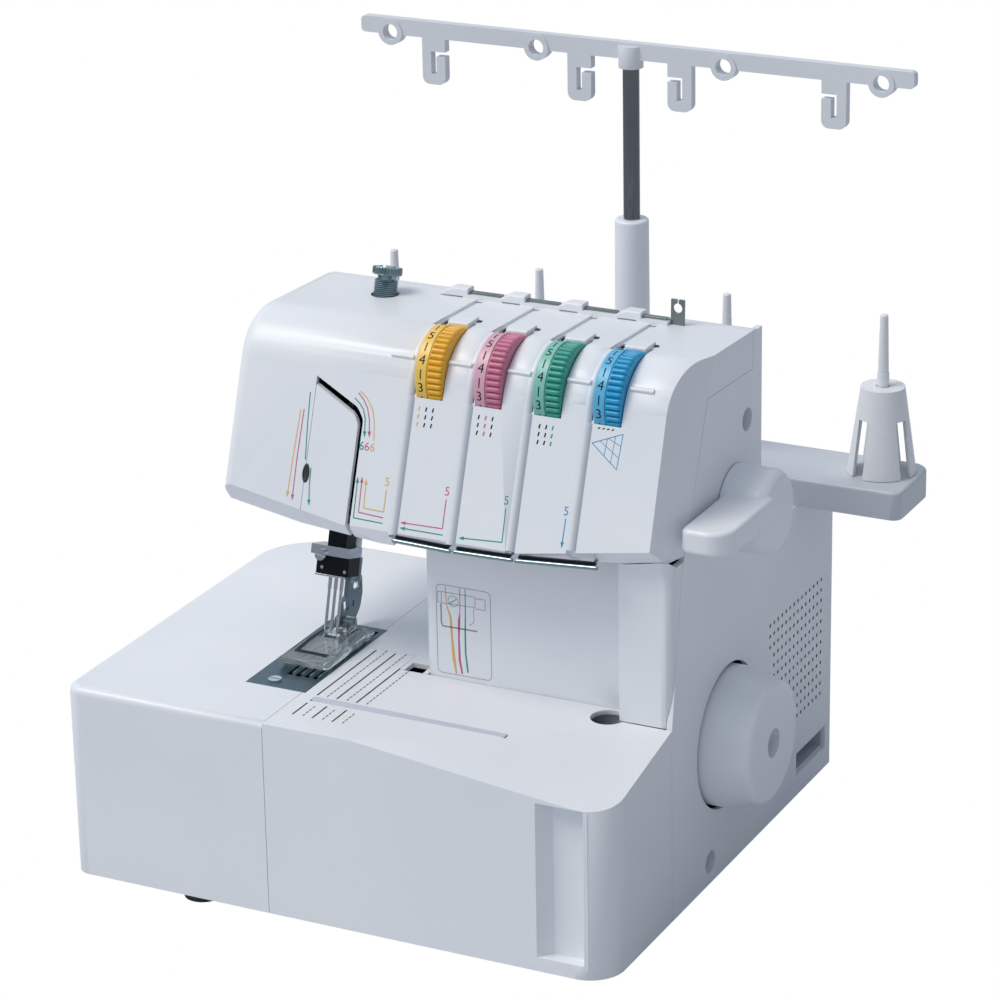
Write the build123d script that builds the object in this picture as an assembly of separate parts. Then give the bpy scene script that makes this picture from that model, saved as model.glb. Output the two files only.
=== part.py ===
from build123d import *
import math
import os

# Cover-stitch serger, millimetres. +X is the handwheel side, -Y faces the user, +Z is up.
# The origin lies on the table under the middle of the machine's bounding box.

# ---------------------------------------------------------------- driving dimensions
BODY_LEFT = -178.0          # left end of the bed
BODY_RIGHT = 122.0          # right side plane of bed, column and head
FRONT = -140.0              # front face of the bed
REAR = 140.0                # rear face of the column
FOOT_HEIGHT = 8.0           # rubber feet, table to base
BED_TOP = 111.0             # working surface
BED_REAR = 89.0             # rear edge of the bed, left of the column
SEAM_X = -64.0              # joint line between bed cover and looper cover
COVER_SEAM_Y = -66.0        # joint line between looper cover and side cover
COLUMN_LEFT = -19.0         # left face of the column
COLUMN_FRONT = -53.0        # recessed wall above the bed
PANEL_FRONT = -66.0         # raised front panel of the column
PANEL_LEFT = 94.0           # left edge of that panel
REAR_BOX_TOP = 173.0        # top of the rear part of the column, under the spool stand
WALL = 2.5                  # moulded cover wall
SIDE_WALL = 3.0             # side cover wall
SEAM = 0.3                  # gap at a joint line between two covers
FIT = 0.3                   # gap round a part that sits loosely in another
RUN = 0.05                  # radial clearance of a running fit

HEAD_LEFT = -120.0          # left end of the head
HEAD_FRONT = -80.0          # front of the head at its underside
HEAD_UNDER = 194.0          # underside of the head
HEAD_REAR = 43.0            # rear wall of the head
HEAD_TOP = 288.0            # top of the head behind the front curve
HEAD_DROP = 3.5             # fall of the top towards the rear
HEAD_LEAN = 19.3            # backward lean of the front face, degrees
HEAD_CURVE = 30.0           # radius between front face and top
FLANK_TAPER = 7.0           # how far the right flank comes in at the front
HEAD_CORNER = 8.0           # radius at the left end of the head
HEAD_REAR_CURVE = 10.0      # radius between top and rear wall
LIP_REAR = -66.0            # rear edge of the head's lower front lip
NOSE_UNDER = HEAD_UNDER - 5.5   # the nose hangs lower, in front of the needle bar
NOSE_RIGHT = -21.5          # right end of the nose

SIDE_KNEE_Y = -54.0         # side cover's front edge where the head begins
SIDE_KNEE_Z = HEAD_UNDER - 6
SIDE_TOP_Y = -23.0          # upper front corner of the side cover
SIDE_TOP_Z = HEAD_TOP - 21
SIDE_NOTCH_Y = 31.5         # upright joint line at the head's rear

BAR_LEAN = 16.0             # backward lean of needle bar and presser bar, degrees
NEEDLE_X = -83.0            # middle needle
NEEDLE_Y = -35.0            # needle points at rest
NEEDLE_Z = 113.0
NEEDLE_PITCH = 3.4          # spacing of the three needles
NEEDLE_LENGTH = 38.7
SHANK_LENGTH = 14.0
SHANK_RADIUS = 1.0
BLADE_RADIUS = 0.8
POINT_LENGTH = 5.0
POINT_RADIUS = 0.08
CLAMP_BOTTOM = 32.4         # needle point to needle clamp, along the bar
NEEDLE_BAR_RADIUS = 3.6
PRESSER_X = -80.5           # presser bar
PRESSER_BACK = 13.0         # presser bar behind the needle bar, square to both
PRESSER_BAR_RADIUS = 3.0
PRESSER_TRAVEL = 7.5        # lift of the presser bar

PLATE_LEFT = -96.3          # needle plate
PLATE_RIGHT = -62.8
PLATE_FRONT = -98.5
PLATE_REAR = -11.0
PLATE_THICK = 1.6
SLOT_COUNT = 4
SLOT_PITCH = 4.8
SLOT_WIDTH = 2.4
SLOT_FIRST_X = -81.2

SHAFT_Y = 2.0               # main shaft axis
SHAFT_Z = 81.0
SHAFT_RADIUS = 6.0
WHEEL_RADIUS = 36.0         # handwheel
WHEEL_FACE_RADIUS = 31.0
WHEEL_OUT = 147.0           # outer face of the handwheel
WHEEL_IN = 110.0
WHEEL_GAP = 2.0             # radial gap round the handwheel in the side cover
MOTOR_Y = 96.0
MOTOR_Z = 62.0
MOTOR_RADIUS = 27.0
DRIVE_PULLEY_RADIUS = 30.0
MOTOR_PULLEY_RADIUS = 9.0
PULLEY_X = 84.0             # middle of the belt
BELT_WIDTH = 7.0
BELT_THICK = 2.0

ARM_SHAFT_Y = 22.0
ARM_SHAFT_Z = HEAD_UNDER + 24
ARM_SHAFT_RADIUS = 5.0
LIFT_Y = 8.0                # presser lifter axis
LIFT_Z = HEAD_UNDER + 7.5
LIFT_SHAFT_RADIUS = 4.0
LIFT_HUB_RADIUS = 21.5
LOOPER_X = -48.0            # looper rocker axis, parallel to Y
LOOPER_Z = 35.0
LOOPER_SHAFT_RADIUS = 4.0

DIAL_COUNT = 4
DIAL_PITCH = 31.8
DIAL_FIRST_X = -18.4        # left edge of the first dial window
DIAL_WINDOW = 15.0          # window width
DIAL_RADIUS = 22.3
DIAL_Y = -36.0
DIAL_Z = HEAD_TOP - 20.5
WINDOW_BOTTOM = HEAD_TOP - 26.2   # lower edge of a dial window
WINDOW_REAR = -19.0         # rear end of a dial window in the top
SPINDLE_RADIUS = 3.0
CHANNEL_WIDTH = 5.0         # thread channel to the left of each dial

TRAY_LEFT = -142.0          # spool stand
TRAY_RIGHT = 178.0
TRAY_FRONT = 89.0
TRAY_REAR = 136.0
TRAY_THICK = 15.0
MAST_X = 18.0               # telescopic mast
MAST_Y = 117.0
MAST_RADIUS = 4.3
SLEEVE_TOP = 306.0
SLEEVE_RADIUS = 9.4
SLEEVE_TOP_RADIUS = 8.8
MAST_TOP = 395.0
PIN_TOP = 272.0             # spool pins
PIN_STEP = 241.0
PIN_RADIUS = 3.1
PIN_INNER = 53.5            # pin distances from the mast
PIN_OUTER = 139.6
TREE_BOTTOM = 390.5         # thread tree bar
TREE_HEIGHT = 8.6
TREE_THICK = 5.0
TREE_HALF = 154.0
RING_INNER = 52.2
RING_OUTER = 136.8
RING_RADIUS = 6.9
RING_HOLE = 4.2

BASE_THICK = 3.0
RIM_HEIGHT = 10.0

TRAY_TOP = REAR_BOX_TOP + TRAY_THICK
BASE_BOTTOM = FOOT_HEIGHT
BASE_TOP = BASE_BOTTOM + BASE_THICK

os.makedirs("parts", exist_ok=True)
PARTS = {}


# ---------------------------------------------------------------- helpers
def block(x0, x1, y0, y1, z0, z1):
    """Box between two corners."""
    return Pos((x0 + x1) / 2, (y0 + y1) / 2, (z0 + z1) / 2) * Box(x1 - x0, y1 - y0, z1 - z0)


def rod_x(radius, x0, x1, y, z):
    """Cylinder along X."""
    return Pos((x0 + x1) / 2, y, z) * Rot(0, 90, 0) * Cylinder(radius, x1 - x0)


def rod_y(radius, x, y0, y1, z):
    """Cylinder along Y."""
    return Pos(x, (y0 + y1) / 2, z) * Rot(90, 0, 0) * Cylinder(radius, y1 - y0)


def rod_z(radius, x, y, z0, z1):
    """Cylinder along Z."""
    return Pos(x, y, (z0 + z1) / 2) * Cylinder(radius, z1 - z0)


def cone_z(low_radius, top_radius, x, y, z0, z1):
    """Cone frustum along Z."""
    return Pos(x, y, (z0 + z1) / 2) * Cone(low_radius, top_radius, z1 - z0)


def outline(points, radii):
    """Closed face through the points, each corner rounded by its own radius."""
    return make_face(FilletPolyline(*points, radius=radii, close=True))


def prism_x(points, x0, x1, radii=0):
    """Outline in (y, z), extruded along X."""
    return extrude(Plane.YZ.offset(x0) * outline(points, radii), x1 - x0)


def prism_y(points, y0, y1, radii=0):
    """Outline in (x, z), extruded along Y."""
    return extrude(Plane.XZ.offset(-y1) * outline(points, radii), y1 - y0)


def prism_z(points, z0, z1, radii=0):
    """Outline in (x, y), extruded along Z."""
    return extrude(Plane.XY.offset(z0) * outline(points, radii), z1 - z0)


def keep(name, shape):
    """Store one sub-part."""
    PARTS[name] = shape


def group(*shapes):
    """Separate solids held in one node."""
    return Compound(children=[solid for shape in shapes for solid in shape.solids()])


def bar_frame(x, y, z):
    """Placement whose local Z runs up along the leaning bars."""
    return Pos(x, y, z) * Rot(-BAR_LEAN, 0, 0)


# ---------------------------------------------------------------- head outline
def head_front_y(z):
    """Y of the leaning front face at height z."""
    return HEAD_FRONT + (z - HEAD_UNDER) * math.tan(math.radians(HEAD_LEAN))


def head_profile(inset):
    """Side outline of the head, moved inwards by inset."""
    lean = math.radians(HEAD_LEAN)
    front = inset / math.cos(lean)
    corner_z = HEAD_TOP - inset
    return [
        (head_front_y(HEAD_UNDER + inset) + front, HEAD_UNDER + inset),
        (head_front_y(corner_z) + front, corner_z),
        (HEAD_REAR - inset, corner_z - HEAD_DROP),
        (HEAD_REAR - inset, HEAD_UNDER + inset),
    ]


def beyond(points, inset):
    """Space outside the plane through three points, which is first moved inwards by inset."""
    first, second, third = [Vector(*point) for point in points]
    normal = (second - first).cross(third - first).normalized()
    if normal.dot(Vector(0, 0, HEAD_TOP - 50) - first) > 0:
        normal = normal * -1
    corner = first - normal * inset
    return Plane(origin=corner, z_dir=normal) * Pos(0, 0, 200) * Box(900, 900, 400)


def flank(inset):
    """Space outside the head's right flank, which narrows towards the front."""
    points = [
        (BODY_RIGHT, SIDE_KNEE_Y, SIDE_KNEE_Z), (BODY_RIGHT, SIDE_TOP_Y, SIDE_TOP_Z),
        (BODY_RIGHT - FLANK_TAPER, HEAD_FRONT, HEAD_UNDER),
    ]
    return beyond(points, inset)


def front_point(x, above):
    """Point on the front face, so far above the head's underside."""
    return (x, head_front_y(HEAD_UNDER + above), HEAD_UNDER + above)


def right_bevel(inset):
    """Space cut from the lower front edge above the column panel."""
    points = [front_point(41, 1.0), front_point(115, 12), (PANEL_LEFT, LIP_REAR, HEAD_UNDER - 0.6)]
    return beyond(points, inset)


def head_bevels(inset):
    """Spaces cut from the lower edges of the head's front: left, middle, right and under the nose."""
    left = beyond([front_point(-114, 12), front_point(-76, 6), (-116, LIP_REAR, HEAD_UNDER - 0.2)], inset)
    middle = beyond([front_point(-60, 2), front_point(-20, 2), (-40, HEAD_FRONT + 2.5, NOSE_UNDER)], inset)
    under = beyond([(-78, 0, NOSE_UNDER), (-78, -80, NOSE_UNDER), (-118, 0, HEAD_UNDER)], inset)
    return [left, middle, right_bevel(inset), under]


def head_block(inset, x0, x1):
    """Solid head between two X planes, with its nose on the left."""
    radii = [0, HEAD_CURVE - inset, HEAD_REAR_CURVE - inset, 0]
    right = prism_x(head_profile(inset), x0 + 20, x1, radii)
    _, top, rear, low = head_profile(inset)
    nose_z = NOSE_UNDER + inset
    nose_low = (head_front_y(nose_z) + inset / math.cos(math.radians(HEAD_LEAN)), nose_z)
    step = [low, (LIP_REAR - inset, low[1]), (LIP_REAR - inset, nose_z)]
    left = prism_x([nose_low, top, rear, *step], x0, NOSE_RIGHT - inset, radii + [0, 0])
    end_edges = left.faces().sort_by(Axis.X)[0].edges()
    upper = [e for e in end_edges if e.center().Z > HEAD_UNDER + inset + 1]
    solid = fillet(upper, HEAD_CORNER - inset) + right
    return solid - flank(inset) - head_bevels(inset)


def head_shell():
    """The whole skin of the head, before it is divided into covers."""
    return head_block(0, HEAD_LEFT, BODY_RIGHT) - head_block(WALL, HEAD_LEFT + WALL, BODY_RIGHT - SIDE_WALL)


def side_outline(inset):
    """Outline in (y, z) of the right side cover; inset shrinks it at the joint lines."""
    return [
        (COVER_SEAM_Y + inset, BASE_BOTTOM),
        (COVER_SEAM_Y + inset, BED_TOP),
        (SIDE_KNEE_Y + inset, SIDE_KNEE_Z),
        (SIDE_TOP_Y + inset, SIDE_TOP_Z - inset),
        (SIDE_NOTCH_Y + inset, SIDE_TOP_Z - 2 - inset),
        (SIDE_NOTCH_Y + inset, HEAD_TOP - 4),
        (HEAD_REAR, HEAD_TOP - 4),
        (HEAD_REAR, REAR_BOX_TOP),
        (REAR, REAR_BOX_TOP),
        (REAR, BASE_BOTTOM),
    ]


# ---------------------------------------------------------------- base and feet
SOCKET = (93.0, 133.0, 19.5, 32.5)    # socket recess in the side cover, y and z range
SCREW_SPOTS = [(25.0, HEAD_TOP - 47), (-19.3, 20.0)]
SCREW_WELL = 6.0
FEET = [(-113, -121), (98, -100), (-113, 68), (98, 118)]
FOOT_RADIUS = 11.0
STEM_RADIUS = 3.5
HINGE_Y = -128.0            # looper cover hinge axis
HINGE_Z = 15.0
HINGE_PIN_RADIUS = 2.5
HINGE_X = [-40.0, 60.0]     # left ends of the two hinges
KNUCKLE = 12.0              # knuckle length
BRACKET_THICK = 3.0
PAN_FRONT_RIGHT = -116.0    # front of the base pan behind the looper cover


def base_pan():
    """Flat pan with an upright rim, holes for the feet and notches for the cover hinges."""
    edge = WALL + FIT
    points = [
        (BODY_LEFT + edge, FRONT + edge), (SEAM_X - 1, FRONT + edge), (SEAM_X - 1, PAN_FRONT_RIGHT),
        (BODY_RIGHT - SIDE_WALL - FIT, PAN_FRONT_RIGHT), (BODY_RIGHT - SIDE_WALL - FIT, REAR - edge),
        (COLUMN_LEFT + edge, REAR - edge), (COLUMN_LEFT + edge, BED_REAR - edge),
        (BODY_LEFT + edge, BED_REAR - edge),
    ]
    radii = [9 - edge, 0, 0, 0, 0, 0, 0, 35 - edge]
    face = Plane.XY * outline(points, radii)
    pan = extrude(Pos(0, 0, BASE_BOTTOM) * face, BASE_THICK + RIM_HEIGHT)
    pan -= extrude(Pos(0, 0, BASE_TOP) * offset(face, -WALL), RIM_HEIGHT + 1)
    for x, y in FEET:
        pan -= rod_z(STEM_RADIUS, x, y, BASE_BOTTOM - 1, BASE_TOP + 1)
    rim_top = BASE_TOP + RIM_HEIGHT
    pan -= block(BODY_RIGHT - 9, BODY_RIGHT, SOCKET[0] - 1, SOCKET[1] + 1, SOCKET[2] - 0.5, rim_top + 1)
    pan -= rod_x(SCREW_WELL + 2 + FIT, BODY_RIGHT - 17, BODY_RIGHT, SCREW_SPOTS[1][0], SCREW_SPOTS[1][1])
    for x in HINGE_X:
        x0 = x + KNUCKLE + FIT
        pan -= block(x0 - 1, x0 + BRACKET_THICK + 1, PAN_FRONT_RIGHT - 1, PAN_FRONT_RIGHT + WALL + 1,
                     BASE_TOP, rim_top + 1)
    return pan


def rubber_foot(x, y):
    """Foot with a stem pressed through the base pan."""
    pad = cone_z(FOOT_RADIUS - 1, FOOT_RADIUS, x, y, 0, FOOT_HEIGHT)
    return pad + rod_z(STEM_RADIUS, x, y, FOOT_HEIGHT, BASE_TOP + 2)


keep("base_pan", base_pan())
keep("rubber_feet", group(*[rubber_foot(x, y) for x, y in FEET]))


# ---------------------------------------------------------------- bed covers
def bed_cover():
    """Left bed cover, open below and towards the looper cover."""
    right = SEAM_X - SEAM / 2
    points = [(BODY_LEFT, FRONT), (right, FRONT), (right, BED_REAR), (BODY_LEFT, BED_REAR)]
    outer = prism_z(points, BASE_BOTTOM, BED_TOP, [9, 0, 0, 35])
    top_edges = outer.faces().sort_by(Axis.Z)[-1].edges()
    outer = fillet([e for e in top_edges if e.center().X < right - 1], 4)
    inside = [
        (BODY_LEFT + WALL, FRONT + WALL), (right + 5, FRONT + WALL),
        (right + 5, BED_REAR - WALL), (BODY_LEFT + WALL, BED_REAR - WALL),
    ]
    shell = outer - prism_z(inside, BASE_BOTTOM - 1, BED_TOP - WALL, [9 - WALL, 0, 0, 35 - WALL])
    recess = block(PLATE_LEFT - FIT, right + 1, PLATE_FRONT - FIT, PLATE_REAR + FIT,
                   BED_TOP - PLATE_THICK, BED_TOP + 1)
    opening = block(PLATE_LEFT + 2, right + 1, PLATE_FRONT + 4, PLATE_REAR - 1, BED_TOP - 10, BED_TOP + 1)
    return shell - recess - opening


def plate_space():
    """Room for the needle plate where it reaches past the joint line."""
    return block(SEAM_X - 1, PLATE_RIGHT + FIT, PLATE_FRONT - FIT, PLATE_REAR + FIT,
                 BED_TOP - 10, BED_TOP + 1)


NOTCH_X = 87.0              # finger notch in the looper cover's rear edge
NOTCH_RADIUS = 8.8
GROOVE = (-56.0, 52.0, -106.0, -103.0)
GROOVE_DEPTH = 1.2
GRIP = (83.0, 108.7, 15.5, 97.0)
GRIP_DEPTH = 7.0
TAB_X = -34.0               # the cover's top reaches further back, left of here
TAB_REAR = -35.0
DIP = 14.0                  # fall of the looper cover's top at its front right corner


def looper_dip(drop):
    """Space above the sloping right part of the looper cover's top."""
    left = Vector(50, -105, BED_TOP - drop)
    rear = Vector(BODY_RIGHT, PANEL_FRONT, BED_TOP - drop)
    corner = Vector(109, FRONT, BED_TOP - DIP - drop)
    normal = (rear - left).cross(corner - left).normalized()
    if normal.Z < 0:
        normal = normal * -1
    return Plane(origin=left, z_dir=normal) * Pos(0, 0, 100) * Box(600, 600, 200)


def looper_cover():
    """Front cover that tilts down, with its grip, thread groove and hinge knuckles."""
    left = SEAM_X + SEAM / 2
    points = [
        (left, FRONT), (BODY_RIGHT, FRONT), (BODY_RIGHT, PANEL_FRONT - SEAM),
        (PANEL_LEFT - SEAM, PANEL_FRONT - SEAM), (PANEL_LEFT - SEAM, COLUMN_FRONT - SEAM),
        (TAB_X, COLUMN_FRONT - SEAM), (TAB_X, TAB_REAR), (left, TAB_REAR),
    ]
    outer = prism_z(points, BASE_BOTTOM, BED_TOP, [0, 18, 0, 0, 0, 0, 0, 0]) - looper_dip(0)
    inside = [
        (left - 5, FRONT + WALL), (BODY_RIGHT - SIDE_WALL, FRONT + WALL),
        (BODY_RIGHT - SIDE_WALL, 0), (left - 5, 0),
    ]
    inner = prism_z(inside, BASE_BOTTOM - 1, BED_TOP - WALL, [0, 18 - WALL, 0, 0]) - looper_dip(WALL)
    cover = outer - inner
    gx0, gx1, gz0, gz1 = GRIP
    cover += block(gx0 - 2, gx1 + 2, FRONT + 1, FRONT + GRIP_DEPTH + WALL, gz0 - 2, gz1 + 2) - looper_dip(1)
    pocket = [(gx0, FRONT - 1), (gx1, FRONT - 1), (gx1, FRONT + GRIP_DEPTH), (gx0 + 7, FRONT + GRIP_DEPTH)]
    cover -= prism_z(pocket, gz0, gz1)
    cover -= rod_z(NOTCH_RADIUS, NOTCH_X, PANEL_FRONT + 2, BED_TOP - 12, BED_TOP + 1)
    cover -= block(GROOVE[0], GROOVE[1], GROOVE[2], GROOVE[3], BED_TOP - GROOVE_DEPTH, BED_TOP + 1)
    cover -= plate_space()
    for x in HINGE_X:
        cover += block(x, x + KNUCKLE, FRONT + 1, HINGE_Y, HINGE_Z - 5, HINGE_Z + 5)
        cover += rod_x(5, x, x + KNUCKLE, HINGE_Y, HINGE_Z)
        cover -= rod_x(HINGE_PIN_RADIUS + RUN, x - 1, x + KNUCKLE + 1, HINGE_Y, HINGE_Z)
    return cover


def hinge_bracket(x):
    """Steel bracket on the base pan with the pin that carries one knuckle."""
    x0 = x + KNUCKLE + FIT
    arm = block(x0, x0 + BRACKET_THICK, HINGE_Y - 4, PAN_FRONT_RIGHT + 20, BASE_TOP, HINGE_Z + 4)
    arm -= block(x0 - 1, x0 + BRACKET_THICK + 1, HINGE_Y - 5, PAN_FRONT_RIGHT + 0, BASE_TOP - 1, HINGE_Z - 4)
    foot = block(x0, x0 + 16, PAN_FRONT_RIGHT + WALL + 1, PAN_FRONT_RIGHT + 20, BASE_TOP, BASE_TOP + 2)
    return arm + foot + rod_x(HINGE_PIN_RADIUS, x - 1, x0 + 1, HINGE_Y, HINGE_Z)


keep("bed_cover", bed_cover())
keep("looper_cover", looper_cover())
keep("cover_hinges", group(*[hinge_bracket(x) for x in HINGE_X]))


# ---------------------------------------------------------------- side, column and rear covers
VENT = (56.5, 126.5, 52.5, 119.0)     # y and z range of the vent grid
VENT_PITCH_Y = 5.3
VENT_PITCH_Z = 5.9
VENT_RADIUS = 1.1
VENT_CLEAR = 52.0                     # no vent holes nearer than this to the main shaft
SCREW_SHANK = 2.0
SCREW_HEAD = 4.0
WELL_DEPTH = 13.0


def side_cover():
    """Right side cover with handwheel opening, vent grid, socket opening and screw wells."""
    inner_x = BODY_RIGHT - SIDE_WALL
    cover = prism_x(side_outline(0), inner_x, BODY_RIGHT)
    cover -= rod_x(WHEEL_RADIUS + WHEEL_GAP, inner_x - 1, BODY_RIGHT + 1, SHAFT_Y, SHAFT_Z)
    cover -= rod_x(LIFT_SHAFT_RADIUS + FIT, inner_x - 1, BODY_RIGHT + 1, LIFT_Y, LIFT_Z)
    cover -= block(inner_x - 1, BODY_RIGHT + 1, SOCKET[0], SOCKET[1], SOCKET[2], SOCKET[3])
    holes = []
    columns = int((VENT[1] - VENT[0]) / VENT_PITCH_Y) + 1
    rows = int((VENT[3] - VENT[2]) / VENT_PITCH_Z) + 1
    for column in range(columns):
        for row in range(rows):
            y = VENT[0] + column * VENT_PITCH_Y
            z = VENT[3] - row * VENT_PITCH_Z
            if math.hypot(y - SHAFT_Y, z - SHAFT_Z) > VENT_CLEAR + WHEEL_GAP * 4:
                holes.append(rod_x(VENT_RADIUS, inner_x - 1, BODY_RIGHT + 1, y, z))
    cover -= holes
    for y, z in SCREW_SPOTS:
        cover += rod_x(SCREW_WELL + 2, BODY_RIGHT - WELL_DEPTH - 2, inner_x, y, z)
        cover -= rod_x(SCREW_WELL, BODY_RIGHT - WELL_DEPTH, BODY_RIGHT + 1, y, z)
        cover -= rod_x(SCREW_SHANK + RUN, BODY_RIGHT - WELL_DEPTH - 3, BODY_RIGHT, y, z)
    return cover


def column_wall(low, top):
    """Recessed front wall of the column and its left return, round the corner."""
    inner_x, inner_y = COLUMN_LEFT + WALL, COLUMN_FRONT + WALL
    points = [
        (COLUMN_LEFT, RETURN_REAR), (COLUMN_LEFT, COLUMN_FRONT), (PANEL_LEFT + 1, COLUMN_FRONT),
        (PANEL_LEFT + 1, inner_y), (inner_x, inner_y), (inner_x, RETURN_REAR),
    ]
    return prism_z(points, low, top, [0, COLUMN_CORNER, 0, 0, COLUMN_CORNER - WALL, 0])


def column_cover():
    """Front wall of the column with its raised panel, side returns and the bed tile beside it."""
    top = HEAD_UNDER - SEAM
    high = top + 5
    side = BODY_RIGHT - SIDE_WALL - SEAM
    panel = block(PANEL_LEFT, side, PANEL_FRONT, PANEL_FRONT + WALL, BED_TOP + SEAM, high)
    panel += block(PANEL_LEFT, PANEL_LEFT + WALL, PANEL_FRONT, COLUMN_FRONT + WALL, BED_TOP + SEAM, high)
    lean = (SIDE_KNEE_Y - COVER_SEAM_Y) / (SIDE_KNEE_Z - BED_TOP)
    edge_low = BED_TOP + 5
    rake = [
        (PANEL_FRONT, edge_low), (PANEL_FRONT + (edge_low - BED_TOP) * lean - SEAM, edge_low),
        (SIDE_KNEE_Y - SEAM, SIDE_KNEE_Z), (SIDE_KNEE_Y + 2 - SEAM, top), (SIDE_KNEE_Y + 2 - SEAM, high),
        (PANEL_FRONT, high),
    ]
    corner = block(0, BODY_RIGHT, PANEL_FRONT, 0, BED_TOP, high)
    right_edges = [e for e in corner.edges().filter_by(Axis.Z) if e.center().X > BODY_RIGHT - 0.1]
    corner = fillet([e for e in right_edges if e.center().Y < PANEL_FRONT + 0.1], PANEL_CORNER)
    panel = (panel + prism_x(rake, side, BODY_RIGHT)) & corner
    panel -= block(PANEL_LEFT - 1, BODY_RIGHT + 1, PANEL_FRONT - 1, 0, top, high + 1) - right_bevel(-SEAM)
    shape = column_wall(BED_TOP - 11, top) + panel
    tile = block(SEAM_X + SEAM / 2, COLUMN_LEFT, TAB_REAR + SEAM, BED_REAR, BED_TOP - WALL, BED_TOP)
    tile += block(TAB_X + SEAM, COLUMN_LEFT + 1, COLUMN_FRONT, TAB_REAR + 1, BED_TOP - WALL, BED_TOP)
    tile -= block(TAB_X + 3, COLUMN_LEFT - 1.5, COLUMN_FRONT - 1, COLUMN_FRONT + NICHE,
                  BED_TOP - 5, BED_TOP + 1)
    tile += block(SEAM_X + SEAM / 2, COLUMN_LEFT, BED_REAR - WALL, BED_REAR, BASE_BOTTOM, BED_TOP)
    return shape + (tile - plate_space())


RETURN_REAR = COLUMN_FRONT + 33   # rear end of the column cover's left return
COLUMN_CORNER = 6.0         # radius of the column's front left corner
PANEL_CORNER = 5.5          # radius of the panel's right corner
NICHE = 10.0                # depth of the open niche left of the column
SWITCH_X = 70.0
SWITCH_Z = 60.0
SWITCH_WIDE = 22.0
SWITCH_HIGH = 15.0


def rear_cover():
    """Left wall, rear wall and top of the column's rear part."""
    start = RETURN_REAR + SEAM
    left = block(COLUMN_LEFT, COLUMN_LEFT + WALL, start, REAR, BED_TOP + SEAM, REAR_BOX_TOP)
    left += block(COLUMN_LEFT, COLUMN_LEFT + WALL, start, HEAD_REAR, BED_TOP + SEAM, HEAD_UNDER - SEAM)
    left += block(COLUMN_LEFT, COLUMN_LEFT + WALL, BED_REAR + SEAM, REAR, BASE_BOTTOM, REAR_BOX_TOP)
    right = BODY_RIGHT - SIDE_WALL - SEAM
    rear = block(COLUMN_LEFT, right, REAR - WALL, REAR, BASE_BOTTOM, REAR_BOX_TOP)
    rear -= block(SWITCH_X - SWITCH_WIDE / 2, SWITCH_X + SWITCH_WIDE / 2, REAR - WALL - 1, REAR + 1,
                  SWITCH_Z - SWITCH_HIGH / 2, SWITCH_Z + SWITCH_HIGH / 2)
    top = block(COLUMN_LEFT, right, HEAD_REAR + SEAM, REAR, REAR_BOX_TOP - WALL, REAR_BOX_TOP)
    return left + rear + top


keep("side_cover", side_cover())
keep("column_cover", column_cover())
keep("rear_cover", rear_cover())


# ---------------------------------------------------------------- head covers
REAR_JOINT_Y = 31.5         # joint line between head cover and head rear cover
PANEL_X = (-73.0, -47.5)    # sides of the panel in front of the needle bar
TAKE_UP_WIDE = 2.5          # width of the take-up slot beside the panel
CHANNEL_SKIN = 1.4          # depth of the thread channels in the front face
SLOT_LOW = WINDOW_BOTTOM - 2   # lower end of the tension slots in the channels
PEG_RADIUS = 1.3
PEG_Z = HEAD_TOP - 11.5
PEG_SPANS = [(-34.8, -22.8), (-3.3, 9.4), (28.5, 41.0), (60.3, 72.8), (93.4, 105.4)]
SCREW_HOLE = 7.2            # hole in the top for the pressure screw
SCREW_ACROSS = 13.7         # its axis in the leaning bars' frame, across and ahead
SCREW_AHEAD = -5.2
LOWER_GUIDES = [(-20, -1.6, 10.4, -2.4), (13.4, -2.2, 43.8, -1.6), (46.8, -1.5, 89, 1.6)]
GUIDE_RADIUS = 1.1          # rods of the lower thread guides
GUIDE_Y = HEAD_FRONT - 0.4
GUIDE_PEG = 0.7
TOP_GUIDES = [(-29.5, 19.0), (2.3, 19.0), (34.1, 19.0), (65.9, 14.0)]
TOP_GUIDE_Y = 24.0
HUMP = 1.8


def top_frame():
    """Placement on the head's sloping top at the rear thread guides."""
    front_y = head_front_y(HEAD_TOP)
    slope = HEAD_DROP / (HEAD_REAR - front_y)
    z = HEAD_TOP - (TOP_GUIDE_Y - front_y) * slope
    return Pos(0, TOP_GUIDE_Y, z) * Rot(-math.degrees(math.atan(slope)), 0, 0)


def dial_left(index):
    """Left edge of one dial window."""
    return DIAL_FIRST_X + index * DIAL_PITCH


def front_skin(depth):
    """Outer layer of the head, used to cut shallow channels."""
    return head_block(0, HEAD_LEFT - 5, BODY_RIGHT) - head_block(depth, HEAD_LEFT - 10, BODY_RIGHT)


def bars():
    """Placement in the bars' own frame, at the middle needle's point."""
    return bar_frame(NEEDLE_X, NEEDLE_Y, NEEDLE_Z)


def in_bars(y, z):
    """Where a point at (y, z) lies in the bars' own frame: behind the needle bar, and along it."""
    lean = math.radians(BAR_LEAN)
    dy, dz = y - NEEDLE_Y, z - NEEDLE_Z
    return dy * math.cos(lean) - dz * math.sin(lean), dz * math.cos(lean) + dy * math.sin(lean)


def screw_top():
    """Distance along the pressure screw's axis at which it leaves the head."""
    lean = math.radians(BAR_LEAN)
    return (HEAD_TOP - 1 - NEEDLE_Z + SCREW_AHEAD * math.sin(lean)) / math.cos(lean)


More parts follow.
